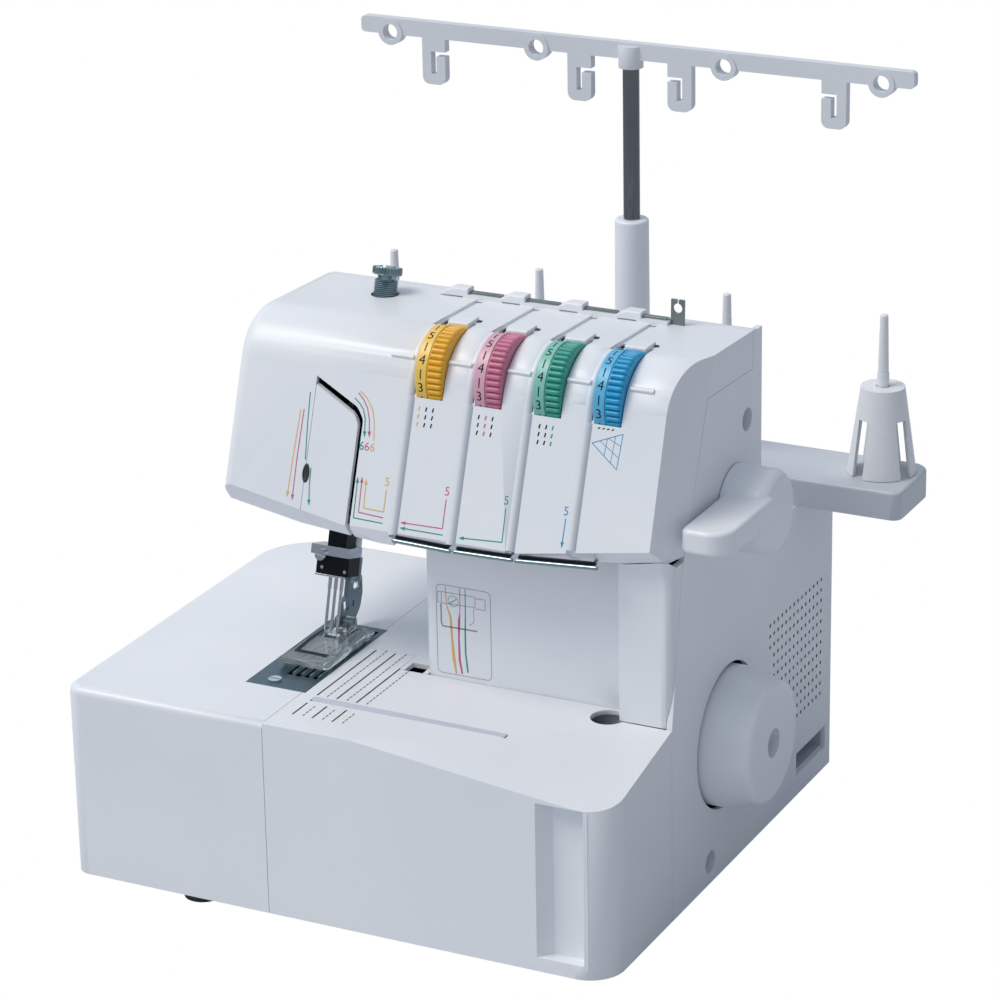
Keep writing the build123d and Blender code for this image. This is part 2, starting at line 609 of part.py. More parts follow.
def panel_outline(gap):
    """Front outline of the panel by the take-up slot; with a gap, of the slot round it."""
    left, right = PANEL_X
    wide = TAKE_UP_WIDE if gap else 0
    low = NOSE_UNDER - 3
    points = [
        (left + 10 - gap, low), (right + wide, low), (right + wide, HEAD_TOP - 45 + wide),
        (right - 2.5 + wide / 2, HEAD_TOP - 41 + 1.5 * wide), (left - gap, HEAD_TOP - 29.5 + 1.6 * wide),
        (left - gap, HEAD_UNDER + 5),
    ]
    return prism_y(points, HEAD_FRONT - 20, HEAD_FRONT + 40, [0, 0, 5, 7, 0, 0])


def side_zone(gap):
    """Space taken by the side cover in the head's right wall."""
    return prism_x(side_outline(-gap), BODY_RIGHT - SIDE_WALL - 0.5, BODY_RIGHT + 1)


def head_cover(shell):
    """Front, top and left end of the head."""
    cover = shell & block(HEAD_LEFT - 1, BODY_RIGHT + 1, -100, REAR_JOINT_Y - SEAM, 0, 400)
    cover -= side_zone(SEAM)
    cover -= block(HEAD_LEFT + WALL, BODY_RIGHT + 1, LIP_REAR, HEAD_REAR, HEAD_UNDER - 1, HEAD_UNDER + WALL)
    cover -= panel_outline(SEAM)
    skin = front_skin(CHANNEL_SKIN)
    for index in range(DIAL_COUNT):
        left = dial_left(index)
        cover -= block(left, left + DIAL_WINDOW, -80, WINDOW_REAR, WINDOW_BOTTOM, HEAD_TOP + 9)
        cover -= rod_x(DIAL_RADIUS + FIT, left, left + DIAL_WINDOW, DIAL_Y, DIAL_Z)
        channel = block(left - CHANNEL_WIDTH, left, -100, REAR_JOINT_Y - 6, HEAD_UNDER - 1, HEAD_TOP + 9)
        cover -= skin & channel
        cover -= block(left - CHANNEL_WIDTH + 0.8, left - 0.8, -90, WINDOW_REAR + 6, SLOT_LOW, HEAD_TOP + 9)
    y_peg = head_front_y(PEG_Z) + 3.2
    for x0, x1 in PEG_SPANS:
        cover += rod_x(PEG_RADIUS, x0, x1, y_peg, PEG_Z)
    cover -= bars() * Pos(SCREW_ACROSS, SCREW_AHEAD, screw_top()) * Cylinder(SCREW_HOLE, 40)
    cover -= [lower_peg(*spot) for spot in PEG_SPOTS]
    for x, wide in TOP_GUIDES:
        cover += top_frame() * block(x - 1.5, x + wide + 1.5, -4, 4, -1, HUMP)
    return cover


def needle_panel(shell):
    """Narrow panel in front of the needle bar, between joint line and take-up slot."""
    panel = shell & panel_outline(0)
    return panel - block(HEAD_LEFT, 0, LIP_REAR, 0, NOSE_UNDER - 5, HEAD_UNDER + WALL)


def head_floor():
    """Underside of the free arm of the head, with openings for needle bar and presser bar."""
    y0 = LIP_REAR + SEAM
    low, high = HEAD_UNDER, HEAD_UNDER + WALL
    floor = block(HEAD_LEFT + WALL + SEAM, COLUMN_LEFT - SEAM, y0, REAR_JOINT_Y, low, high)
    floor -= block(NEEDLE_X - 11, NEEDLE_X + 11, -28, 12, low - 1, high + 1)
    half = LAMP_LONG / 2 + FIT
    return floor - block(LAMP_X - half, LAMP_X + half, LAMP_Y - 5 - FIT, LAMP_Y + 5 + FIT, low - 1, high + 1)


def head_rear_cover(shell):
    """Rear wall of the head, down to the spool stand."""
    cover = shell & block(HEAD_LEFT - 1, BODY_RIGHT + 1, REAR_JOINT_Y, 100, 0, 400)
    cover -= side_zone(SEAM)
    cover -= block(HEAD_LEFT - 1, BODY_RIGHT + 1, REAR_JOINT_Y - 1, HEAD_REAR - WALL, HEAD_UNDER - 1,
                   HEAD_UNDER + WALL)
    left, right = COLUMN_LEFT + WALL + SEAM, BODY_RIGHT - SIDE_WALL - SEAM
    return cover + block(left, right, HEAD_REAR - WALL, HEAD_REAR, REAR_BOX_TOP + SEAM, HEAD_UNDER + 5)


def lower_peg(x, above):
    """Peg that carries a lower thread guide, from the rod back into the head's lip."""
    z = HEAD_UNDER + above
    if above > 0:
        return rod_y(GUIDE_PEG, x, GUIDE_Y, LIP_REAR - 1, z)
    back = LIP_REAR - 6
    return rod_y(GUIDE_PEG, x, GUIDE_Y, back, z) + rod_z(GUIDE_PEG, x, back, z, HEAD_UNDER + WALL)


LAMP_X = -45.0
LAMP_Y = -30.0
LAMP_LONG = 28.0
PEG_SPOTS = []
for x0, above0, x1, above1 in LOWER_GUIDES:
    for share in (0.1, 0.9):
        PEG_SPOTS.append((x0 + (x1 - x0) * share, above0 + (above1 - above0) * share))

SHELL = head_shell()
keep("head_cover", head_cover(SHELL))
keep("needle_panel", needle_panel(SHELL))
keep("head_floor", head_floor())
keep("head_rear_cover", head_rear_cover(SHELL))
lamp_x0, lamp_x1 = LAMP_X - LAMP_LONG / 2, LAMP_X + LAMP_LONG / 2
keep("work_lamp", block(lamp_x0, lamp_x1, LAMP_Y - 5, LAMP_Y + 5, HEAD_UNDER - 0.8, HEAD_UNDER + 5))


# ---------------------------------------------------------------- frame
GUIDE_LOW = (HEAD_UNDER + 5.5 - NEEDLE_Z) / math.cos(math.radians(BAR_LEAN))   # lower guide of both bars
GUIDE_HIGH = GUIDE_LOW + 52   # upper guide
GUIDE_TALL = 10.0
ARM_LOW = HEAD_UNDER + 6
ARM_HIGH = HEAD_TOP - 18
ARM_PLATE_FRONT = 33.0      # upright plate of the arm
ARM_PLATE_REAR = 39.0
ARM_LEFT = -104.0
WALL_LEFT = (-66.0, -58.0)  # left bearing wall in the bed
WALL_RIGHT = (66.0, 74.0)   # bearing wall in the column
BUSH_WALL = 2.5
BED_PLATE = (16.0, 22.0)    # z range of the casting's bed plate
THROAT_LOW = 92.0
POST_REAR_Y = -12.3
MOTOR_X = (0.0, 60.0)


def bar_solid(across, ahead, low, high, radius):
    """Cylinder parallel to the needle bar, placed in the bars' own frame."""
    return bars() * Pos(across, ahead, (low + high) / 2) * Cylinder(radius, high - low)


def bar_block(x0, x1, y0, y1, z0, z1):
    """Box in the bars' own frame."""
    return bars() * block(x0, x1, y0, y1, z0, z1)


PRESSER_ACROSS = PRESSER_X - NEEDLE_X


def frame_casting():
    """Aluminium frame: bed plate, bearing walls, arm plate and bar guides in one casting."""
    z0, z1 = BED_PLATE
    frame = block(WALL_LEFT[0], 98, -48, 80, z0, z1)
    frame += block(-94, WALL_LEFT[1], -96, 20, z0, z1)
    frame += block(WALL_LEFT[1], LOOPER_X + 12, -62, -48, z0, z1)
    for x, y in [(-90, -80), (-62, 60), (92, -30), (92, 70)]:
        frame += rod_z(5, x, y, BASE_TOP, z0)
    post = FEED_X0 - 8
    frame += block(post, FEED_X1 + 5, -94, -88, z1, BED_TOP - PLATE_THICK)
    frame += block(post, WALL_LEFT[0] + 1, POST_REAR_Y - 3.4, POST_REAR_Y, z1, BED_TOP - PLATE_THICK)
    frame += block(WALL_LEFT[0], WALL_LEFT[1], -14, 40, z1, THROAT_LOW)
    frame += block(WALL_RIGHT[0], WALL_RIGHT[1], -30, ARM_PLATE_REAR, z1, ARM_LOW)
    frame += block(WALL_RIGHT[0], WALL_RIGHT[1], -5, ARM_PLATE_REAR, ARM_LOW, ARM_HIGH)
    frame += block(ARM_LEFT, WALL_RIGHT[1], ARM_PLATE_FRONT, ARM_PLATE_REAR, ARM_LOW, ARM_HIGH)
    frame += block(ARM_LEFT, ARM_LEFT + 5.4, -6, ARM_PLATE_REAR, ARM_LOW + 8, ARM_HIGH - 8)
    frame += block(-98, -67, 6, ARM_PLATE_REAR, ARM_LOW, ARM_LOW + 8)
    frame += bar_block(-8, 10, -8, 20, GUIDE_LOW, GUIDE_LOW + GUIDE_TALL)
    frame += bar_block(-8, 22, -11, 30, GUIDE_HIGH, GUIDE_HIGH + GUIDE_TALL)
    frame -= block(FEED_X0 - RUN, FEED_X1 + RUN, -97, -9, FEED_Z0 - FEED_DROP, FEED_Z1 + FEED_DROP)
    frame += block(28, 96, -52, -48, z0, 96)
    for y in LOOPER_BEARINGS:
        frame += block(LOOPER_X - 8, LOOPER_X + 8, y, y + 6, z1, LOOPER_Z + 7)
    for x in WALL_LEFT[0], WALL_RIGHT[0]:
        frame -= rod_x(SHAFT_RADIUS + BUSH_WALL, x - 1, x + 9, SHAFT_Y, SHAFT_Z)
    frame -= rod_x(ARM_SHAFT_RADIUS + RUN, ARM_LEFT - 1, WALL_RIGHT[1] + 1, ARM_SHAFT_Y, ARM_SHAFT_Z)
    frame -= rod_x(LIFT_SHAFT_RADIUS + RUN, WALL_RIGHT[0] - 1, WALL_RIGHT[1] + 1, LIFT_Y, LIFT_Z)
    for y in LOOPER_BEARINGS:
        frame -= rod_y(LOOPER_SHAFT_RADIUS + RUN, LOOPER_X, y - 1, y + 7, LOOPER_Z)
    frame -= rod_y(STITCH_SPINDLE + RUN, STITCH_X, -53, -47, STITCH_Z)
    frame -= bar_solid(0, 0, GUIDE_LOW - 20, GUIDE_HIGH + 30, NEEDLE_BAR_RADIUS + RUN)
    hole = PRESSER_BAR_RADIUS + RUN
    frame -= bar_solid(PRESSER_ACROSS, PRESSER_BACK, GUIDE_LOW - 20, GUIDE_HIGH + 30, hole)
    frame -= bar_solid(SCREW_ACROSS, SCREW_AHEAD, GUIDE_HIGH - 1, GUIDE_HIGH + 30, SCREW_RADIUS + RUN)
    return frame


LOOPER_BEARINGS = [-58.0, 2.0]
SCREW_RADIUS = 4.25
FEED_X0 = -79.0             # feed bar in its guide windows
FEED_X1 = -69.0
FEED_Z0 = 79.0
FEED_Z1 = 86.0
FEED_DROP = 2.0
STITCH_X = 45.0
STITCH_Z = 62.0
STITCH_SPINDLE = 3.0
keep("frame_casting", frame_casting())


def shaft_bush(x):
    """Bronze bush pressed into one bearing wall."""
    ring = rod_x(SHAFT_RADIUS + BUSH_WALL, x, x + 8, SHAFT_Y, SHAFT_Z)
    return ring - rod_x(SHAFT_RADIUS + RUN, x - 1, x + 9, SHAFT_Y, SHAFT_Z)


keep("shaft_bushes", group(*[shaft_bush(x) for x in (WALL_LEFT[0], WALL_RIGHT[0])]))


# ---------------------------------------------------------------- main drive
SHAFT_LEFT = -68.0
HUB_BORE = 7.6
HUB_DEPTH = 8.0
ECCENTRICS = [-40.0, -20.0]
ECCENTRIC_RADIUS = 11.0
ECCENTRIC_THROW = 2.0


def main_shaft():
    """Main shaft with its feed eccentrics."""
    shaft = rod_x(SHAFT_RADIUS, SHAFT_LEFT, WHEEL_OUT - HUB_DEPTH, SHAFT_Y, SHAFT_Z)
    for x in ECCENTRICS:
        shaft += rod_x(ECCENTRIC_RADIUS, x, x + 8, SHAFT_Y, SHAFT_Z - ECCENTRIC_THROW)
    return shaft


def turned_x(points, radii, y, z):
    """Solid turned about an axis along X; points are (x, radius)."""
    return Pos(0, y, z) * revolve(Plane.XY * outline(points, radii), Axis.X)


def handwheel():
    """Handwheel: dished body, tapered rim and recessed centre hole."""
    knee = WHEEL_IN + 20
    points = [
        (WHEEL_IN, 0), (WHEEL_IN, WHEEL_RADIUS), (knee, WHEEL_RADIUS),
        (WHEEL_OUT, WHEEL_FACE_RADIUS), (WHEEL_OUT, 0),
    ]
    wheel = turned_x(points, [0, 2, 30, 4, 0], SHAFT_Y, SHAFT_Z)
    wheel -= rod_x(HUB_BORE, WHEEL_OUT - HUB_DEPTH, WHEEL_OUT + 1, SHAFT_Y, SHAFT_Z)
    wheel -= rod_x(SHAFT_RADIUS, WHEEL_IN - 1, WHEEL_OUT, SHAFT_Y, SHAFT_Z)
    dish = [(WHEEL_IN - 1, 12), (WHEEL_IN - 1, WHEEL_RADIUS - 3), (WHEEL_OUT - 14, WHEEL_RADIUS - 6),
            (WHEEL_OUT - 14, 12)]
    return wheel - turned_x(dish, 0, SHAFT_Y, SHAFT_Z)


def pulley(radius, bore, y, z):
    """Flanged pulley for the drive belt."""
    half = BELT_WIDTH / 2
    wheel = rod_x(radius, PULLEY_X - half - 2, PULLEY_X + half + 2, y, z)
    for side in (-1, 1):
        middle = PULLEY_X + side * (half + 1.5)
        wheel += rod_x(radius + BELT_THICK + 1, middle - 0.75, middle + 0.75, y, z)
    return wheel - rod_x(bore, PULLEY_X - 20, PULLEY_X + 20, y, z)


def belt_face(extra):
    """Belt outline round both pulleys, extra outside their running surfaces."""
    r1, r2 = DRIVE_PULLEY_RADIUS + extra, MOTOR_PULLEY_RADIUS + extra
    dy, dz = MOTOR_Y - SHAFT_Y, MOTOR_Z - SHAFT_Z
    span = math.hypot(dy, dz)
    base = math.atan2(dz, dy)
    swing = math.acos((r1 - r2) / span)
    spots = []
    for sign in (1, -1):
        angle = base + sign * swing
        ends = [
            (SHAFT_Y + r1 * math.cos(angle), SHAFT_Z + r1 * math.sin(angle)),
            (MOTOR_Y + r2 * math.cos(angle), MOTOR_Z + r2 * math.sin(angle)),
        ]
        spots += ends if sign > 0 else ends[::-1]
    body = make_face(Polyline(*spots, close=True))
    return body + Pos(SHAFT_Y, SHAFT_Z) * Circle(r1) + Pos(MOTOR_Y, MOTOR_Z) * Circle(r2)


def drive_belt():
    """Flat belt between motor and main shaft."""
    ring = belt_face(BELT_CLEAR + BELT_THICK) - belt_face(BELT_CLEAR)
    return extrude(Plane.YZ.offset(PULLEY_X - BELT_WIDTH / 2) * ring, BELT_WIDTH)


BELT_CLEAR = 0.2
MOTOR_SHAFT_RADIUS = 3.0

keep("main_shaft", main_shaft())
keep("handwheel", handwheel())
keep("drive_pulley", pulley(DRIVE_PULLEY_RADIUS, SHAFT_RADIUS, SHAFT_Y, SHAFT_Z))
keep("drive_belt", drive_belt())
motor = rod_x(MOTOR_RADIUS, MOTOR_X[0], MOTOR_X[1], MOTOR_Y, MOTOR_Z)
motor += rod_x(9, MOTOR_X[1], MOTOR_X[1] + 6, MOTOR_Y, MOTOR_Z)
motor += block(MOTOR_X[0] + 8, MOTOR_X[1] - 8, MOTOR_Y - 20, MOTOR_Y + 20, BASE_TOP, MOTOR_Z - 12)
motor -= block(MOTOR_X[0], MOTOR_X[1], MOTOR_Y - 13, MOTOR_Y + 13, BASE_TOP - 1, MOTOR_Z - MOTOR_RADIUS - 2)
motor -= block(MOTOR_X[0], MOTOR_X[1], 60, 80 + FIT, BASE_TOP - 1, BED_PLATE[1] + FIT)
motor -= rod_x(MOTOR_SHAFT_RADIUS + RUN, MOTOR_X[0] + 10, MOTOR_X[1] + 10, MOTOR_Y, MOTOR_Z)
keep("motor", motor)
motor_shaft = rod_x(MOTOR_SHAFT_RADIUS, MOTOR_X[0] + 12, PULLEY_X + 8, MOTOR_Y, MOTOR_Z)
keep("motor_shaft", motor_shaft + pulley(MOTOR_PULLEY_RADIUS, MOTOR_SHAFT_RADIUS, MOTOR_Y, MOTOR_Z))


# ---------------------------------------------------------------- needle bar
CLAMP_TOP = 42.2
CLAMP_X = (-9.6, 8.8)
CLAMP_Y = (-5.0, 7.0)
COLLAR_TOP = 60.0
COLLAR_X = (-4.6, 6.0)
BRACKET_X = (-13.2, 9.0)
BRACKET_Y = (-6.0, 8.0)
BRACKET_TALL = 5.0
BRACKET_SCREW = (-6.7, 3.0)   # across, and how far it stands out
BRACKET_SCREW_RADIUS = 3.0
SET_SCREWS = [(-6.2, 35.8), (7.0, 35.0)]
DRIVER_RADIUS = 2.5
ROCKER_X = (-97.4, -92.6)
ROCKER_BACK, DRIVER_ALONG = in_bars(ARM_SHAFT_Y, ARM_SHAFT_Z)   # arm shaft behind and along the needle bar
SLOT_CLEAR = 0.8


def needle(across):
    """Needle with shank, blade and point."""
    shape = bar_solid(across, 0, NEEDLE_LENGTH - SHANK_LENGTH, NEEDLE_LENGTH, SHANK_RADIUS)
    shape += bar_solid(across, 0, POINT_LENGTH, NEEDLE_LENGTH - SHANK_LENGTH, BLADE_RADIUS)
    return shape + bars() * Pos(across, 0, POINT_LENGTH / 2) * Cone(POINT_RADIUS, BLADE_RADIUS, POINT_LENGTH)


def needle_bar():
    """Needle bar with its driver pin."""
    bar = bar_solid(0, 0, CLAMP_TOP, GUIDE_HIGH + GUIDE_TALL + 10, NEEDLE_BAR_RADIUS)
    pin_length = NEEDLE_X - ROCKER_X[0] + 0.6
    place = bars() * Pos(-pin_length / 2, 0, DRIVER_ALONG) * Rot(0, 90, 0)
    return bar + place * Cylinder(DRIVER_RADIUS, pin_length)


def needle_clamp():
    """Needle clamp block with its needle holes and the collar on the needle bar."""
    low = CLAMP_BOTTOM
    clamp = bar_block(CLAMP_X[0], CLAMP_X[1], CLAMP_Y[0], CLAMP_Y[1], low, CLAMP_TOP)
    clamp += bar_block(COLLAR_X[0], COLLAR_X[1], CLAMP_Y[0] + 0.5, CLAMP_Y[1] - 1, CLAMP_TOP, COLLAR_TOP)
    clamp -= bar_solid(0, 0, CLAMP_TOP, COLLAR_TOP + 1, NEEDLE_BAR_RADIUS)
    for across in (-NEEDLE_PITCH, 0, NEEDLE_PITCH):
        clamp -= bar_solid(across, 0, low - 1, NEEDLE_LENGTH + 0.2, SHANK_RADIUS + RUN)
    return clamp


def clamp_bracket():
    """Bright thread guide bracket round the clamp's collar, open behind."""
    high = CLAMP_TOP + BRACKET_TALL
    bracket = bar_block(BRACKET_X[0], BRACKET_X[1], BRACKET_Y[0], BRACKET_Y[1], CLAMP_TOP, high)
    front, rear = CLAMP_Y[0] + 0.5, BRACKET_Y[1] + 1
    return bracket - bar_block(COLLAR_X[0], COLLAR_X[1], front, rear, CLAMP_TOP - 1, high + 1)


def lower_guide():
    """Thin thread guide strip under the clamp block, in front of the needles."""
    low, high = CLAMP_BOTTOM - 1, CLAMP_BOTTOM
    return bar_block(CLAMP_X[0] - 0.3, 4, CLAMP_Y[0] - 0.6, -SHANK_RADIUS - 0.6, low, high)


def clamp_screw(across, along, radius, reach):
    """Screw head in front of the needle clamp."""
    place = bars() * Pos(across, CLAMP_Y[0], along) * Rot(90, 0, 0)
    return place * Pos(0, 0, reach / 2) * Cylinder(radius, reach)


def bracket_screw():
    """Large slotted screw that holds the thread guide bracket."""
    x, reach = BRACKET_SCREW
    head = clamp_screw(x, CLAMP_TOP, BRACKET_SCREW_RADIUS, reach)
    head -= bar_block(-20, 20, BRACKET_Y[0], 5, CLAMP_TOP, CLAMP_TOP + 9)
    place = bars() * Pos(x, CLAMP_Y[0] - reach, CLAMP_TOP) * Rot(0, 12, 0)
    return head - place * Box(3 * BRACKET_SCREW_RADIUS, 1.4, 0.8)


def arm_shaft():
    """Rocking shaft in the arm with the forked rocker that drives the needle bar."""
    x0, x1 = ROCKER_X
    shaft = rod_x(ARM_SHAFT_RADIUS, x0, WALL_RIGHT[1] + 6, ARM_SHAFT_Y, ARM_SHAFT_Z)
    place = Pos(0, ARM_SHAFT_Y, ARM_SHAFT_Z) * Rot(-BAR_LEAN, 0, 0)
    reach = ROCKER_BACK + 7
    rocker = place * block(x0, x1, -reach, 0, -6, 6) + rod_x(8, x0, x1, ARM_SHAFT_Y, ARM_SHAFT_Z)
    slot = DRIVER_RADIUS + SLOT_CLEAR
    rocker -= place * block(x0 - 1, x1 + 1, -reach - 1, -ROCKER_BACK + slot, -slot, slot)
    return shaft + rocker


keep("needles", group(*[needle(a) for a in (-NEEDLE_PITCH, 0, NEEDLE_PITCH)]))
keep("needle_bar", needle_bar())
keep("needle_clamp", needle_clamp())
keep("clamp_bracket", group(clamp_bracket(), lower_guide()))
keep("clamp_screws", group(bracket_screw(), *[clamp_screw(x, z, 0.9, 0.5) for x, z in SET_SCREWS]))
keep("arm_shaft", arm_shaft())


# ---------------------------------------------------------------- presser bar and foot
ANKLE_X = (-82.0, -80.0)
ANKLE_COLLAR = (29.0, 41.0)   # collar on the presser bar, along it
FOOT_PIN_Y = -24.0
FOOT_PIN_Z = 118.0
FOOT_PIN_RADIUS = 1.2
FOOT_X = (-90.0, -64.8)
FOOT_FRONT = -76.0
FOOT_REAR = -21.0
LUG_THICK = 2.4
SOLE_GAP = 0.7
FINGER_LENGTH = 14.0        # lifter finger, from the lifter's axis to its round end
FINGER_RISE = 31.0
FINGER_RADIUS = 3.0
FINGER_GAP = 0.5            # gap between finger and bracket when the foot is down
SPRING_COILS = 5
SPRING_RADIUS = 3.2
WIRE_RADIUS = 0.55
SPRING_CLEAR = 0.9
SCREW_LOW = GUIDE_HIGH - 2  # lower end of the pressure screw
KNOB_RADIUS = 7.5


def finger_point():
    """Centre of the finger's round end, (y, z)."""
    rise = math.radians(FINGER_RISE)
    return LIFT_Y - FINGER_LENGTH * math.cos(rise), LIFT_Z + FINGER_LENGTH * math.sin(rise)


BRACKET_LOW = in_bars(*finger_point())[1] + FINGER_RADIUS + FINGER_GAP
BRACKET_HIGH = BRACKET_LOW + 8
SPRING_SPACE = SCREW_LOW - BRACKET_HIGH - PRESSER_TRAVEL - SPRING_CLEAR
SPRING_PITCH = (SPRING_SPACE - 2 * WIRE_RADIUS) / SPRING_COILS


def presser_bar():
    """Presser bar with its lifting bracket, which passes beside the needle bar."""
    low, high = ANKLE_COLLAR[0] - 1, GUIDE_HIGH + GUIDE_TALL + 18
    bar = bar_solid(PRESSER_ACROSS, PRESSER_BACK, low, high, PRESSER_BAR_RADIUS)
    right = SCREW_ACROSS + 8.2
    rear = PRESSER_BACK + 4
    bracket = bar_block(PRESSER_ACROSS - 4, right, PRESSER_BACK - 4, rear, BRACKET_LOW, BRACKET_HIGH)
    side = NEEDLE_BAR_RADIUS + 2
    return bar + bracket + bar_block(side, right, SCREW_AHEAD - 5, rear, BRACKET_LOW, BRACKET_HIGH)


def presser_ankle():
    """Ankle plate with its collar on the presser bar, and the foot's hinge pin pressed through it."""
    x0, x1 = ANKLE_X
    y, z = FOOT_PIN_Y, FOOT_PIN_Z
    points = [
        (y - 5.0, z - 1.5), (y - 4.5, z + 3.5), (y - 2.5, z + 11.5), (y + 2.6, z + 13), (y + 5.4, z + 23),
        (y + 19, z + 19), (y + 19.2, z + 9.5), (y + 16, z + 2), (y + 10, z - 3),
    ]
    ankle = prism_x(points, x0, x1, [1, 1, 0.6, 1, 1, 2, 4, 6, 2])
    for dy, dz in ((12, 15.6), (15, 15)):
        ankle -= rod_x(2.6, x0 - 1, x1 + 1, y + dy, z + dz)
    ankle -= block(x0 - 1, x1 + 1, y + 7.7, y + 9.6, z + 5.2, z + 8.4)
    ankle -= block(x0 - 1, x1 + 1, y - 1.4, y + 4.1, z + 5.4, z + 11)
    low, high = ANKLE_COLLAR
    ankle += bar_solid(PRESSER_ACROSS, PRESSER_BACK, low, high, PRESSER_BAR_RADIUS + 1.2)
    ankle -= bar_solid(PRESSER_ACROSS, PRESSER_BACK, low - 1, high + 10, PRESSER_BAR_RADIUS)
    lug = x0 - FIT - LUG_THICK
    return ankle + rod_x(FOOT_PIN_RADIUS, lug, x1 + FIT + 2 * LUG_THICK, y, z)


def presser_foot():
    """Clear presser foot with turned-up toe, rising right rail, needle slot and hinge lugs."""
    sole = BED_TOP + SOLE_GAP
    x0, x1 = FOOT_X
    y, z = FOOT_PIN_Y, FOOT_PIN_Z
    points = [
        (FOOT_FRONT, sole + 2.2), (FOOT_FRONT + 6, sole), (FOOT_REAR - 4, sole), (FOOT_REAR, sole + 1.2),
        (FOOT_REAR, sole + 2.4), (FOOT_FRONT + 12, sole + 4.2), (FOOT_FRONT + 0.6, sole + 5.2),
    ]
    foot = prism_x(points, x0, x1, [0.6, 6, 3, 0.4, 0.4, 8, 0.8])
    rail = [
        (FOOT_FRONT + 14, sole + 1), (FOOT_FRONT + 14, sole + 4.4), (y - 9, sole + 6.6), (y - 3, sole + 6.2),
        (y - 3, sole + 1),
    ]
    foot += prism_x(rail, x1 - 4.2, x1, [0, 2, 3, 2, 0])
    slot_x0, slot_x1 = ANKLE_X[0] - FIT, ANKLE_X[1] + FIT
    lug = [(y - 6, sole + 1), (y - 2.8, z + 2.8), (y + 2.8, z + 2.8), (y + 3, sole + 1)]
    for left, right in ((slot_x0 - LUG_THICK, slot_x0), (slot_x1, slot_x1 + 2 * LUG_THICK)):
        foot += prism_x(lug, left, right, [0, 2.5, 2.5, 0])
    foot -= block(slot_x0, slot_x1, y - 6, FOOT_REAR + 1, sole + 1.4, z + 9)
    foot -= block(NEEDLE_X - 5.4, NEEDLE_X + 5.4, NEEDLE_Y - 5, NEEDLE_Y + 4, sole - 1, sole + 9)
    return foot - rod_x(FOOT_PIN_RADIUS + RUN, slot_x0 - 9, x1 + 1, y, z)


def pressure_spring():
    """Pressure spring between bracket and adjusting screw."""
    place = bars() * Pos(SCREW_ACROSS, SCREW_AHEAD, BRACKET_HIGH)
    path = Pos(0, 0, WIRE_RADIUS) * Helix(SPRING_PITCH, SPRING_COILS * SPRING_PITCH, SPRING_RADIUS)
    start = Plane(origin=path @ 0, z_dir=path % 0)
    return place * sweep(start * Circle(WIRE_RADIUS), path=path)


def pressure_screw():
    """Pressure adjusting screw with its knurled head."""
    knob_low = screw_top() + 8.5
    screw = bar_solid(SCREW_ACROSS, SCREW_AHEAD, SCREW_LOW, knob_low, SCREW_RADIUS)
    place = bars() * Pos(SCREW_ACROSS, SCREW_AHEAD, knob_low)
    knob = place * Pos(0, 0, KNOB_TALL / 2) * Cylinder(KNOB_RADIUS, KNOB_TALL)
    knob = fillet(knob.edges().filter_by(GeomType.CIRCLE), 0.8)
    knob -= place * Pos(0, 0, KNOB_TALL) * Box(10, 1.4, 2.4)
    grooves = []
    for turn in range(KNURLS):
        spot = place * Rot(0, 0, turn * 360 / KNURLS) * Pos(KNOB_RADIUS, 0, KNOB_TALL / 2)
        grooves.append(spot * Cylinder(0.4, KNOB_TALL - 3))
    return screw + (knob - grooves)


KNOB_TALL = 8.0
KNURLS = 24
keep("presser_bar", presser_bar())
keep("presser_ankle", presser_ankle())
keep("presser_foot", presser_foot())
keep("pressure_spring", pressure_spring())
keep("pressure_screw", pressure_screw())


# ---------------------------------------------------------------- presser lifter
LIFT_ARM_X = (-66.5, -61.5)
PADDLE_LEFT = 124.0
PADDLE_RIGHT = 147.0
PADDLE_Z = (LIFT_Z + 0.5, LIFT_Z + 13)
PADDLE_FRONT = -62.0


def lifter_shaft():
    """Lifter shaft with the finger that raises the presser bar's bracket."""
    x0, x1 = LIFT_ARM_X
    shaft = rod_x(LIFT_SHAFT_RADIUS, x0, LEVER_X0 + 6, LIFT_Y, LIFT_Z)
    shaft += rod_x(4.6, x0, x1, LIFT_Y, LIFT_Z) + rod_x(FINGER_RADIUS, x0, x1, *finger_point())
    place = Pos(0, LIFT_Y, LIFT_Z) * Rot(-FINGER_RISE, 0, 0)
    return shaft + place * block(x0, x1, -FINGER_LENGTH, 0, -FINGER_RADIUS, FINGER_RADIUS)


def presser_lever():
    """Hand lever outside the side cover: round hub and forward paddle."""
    hub = rod_x(LIFT_HUB_RADIUS, LEVER_X0, PADDLE_RIGHT, LIFT_Y, LIFT_Z)
    hub = fillet([e for e in hub.edges() if e.center().X > PADDLE_RIGHT - 1], 6)
    low, high = PADDLE_Z
    points = [(PADDLE_LEFT, LIFT_Y), (PADDLE_LEFT, PADDLE_FRONT), (PADDLE_RIGHT + 2, PADDLE_FRONT),
              (PADDLE_RIGHT + 2, LIFT_Y - 14), (PADDLE_RIGHT - 4, LIFT_Y)]
    paddle = prism_z(points, low, high, [0, 5, 13, 3, 0])
    tops = paddle.faces().sort_by(Axis.Z)[-1].edges() + paddle.faces().sort_by(Axis.Z)[0].edges()
    paddle = fillet([e for e in tops if e.center().Y < LIFT_Y - 10], 2.5)
    socket = rod_x(LIFT_SHAFT_RADIUS, LEVER_X0 - 1, LEVER_X0 + 6, LIFT_Y, LIFT_Z)
    return hub + paddle - socket


LEVER_X0 = BODY_RIGHT + 0.5
keep("lifter_shaft", lifter_shaft())
keep("presser_lever", presser_lever())


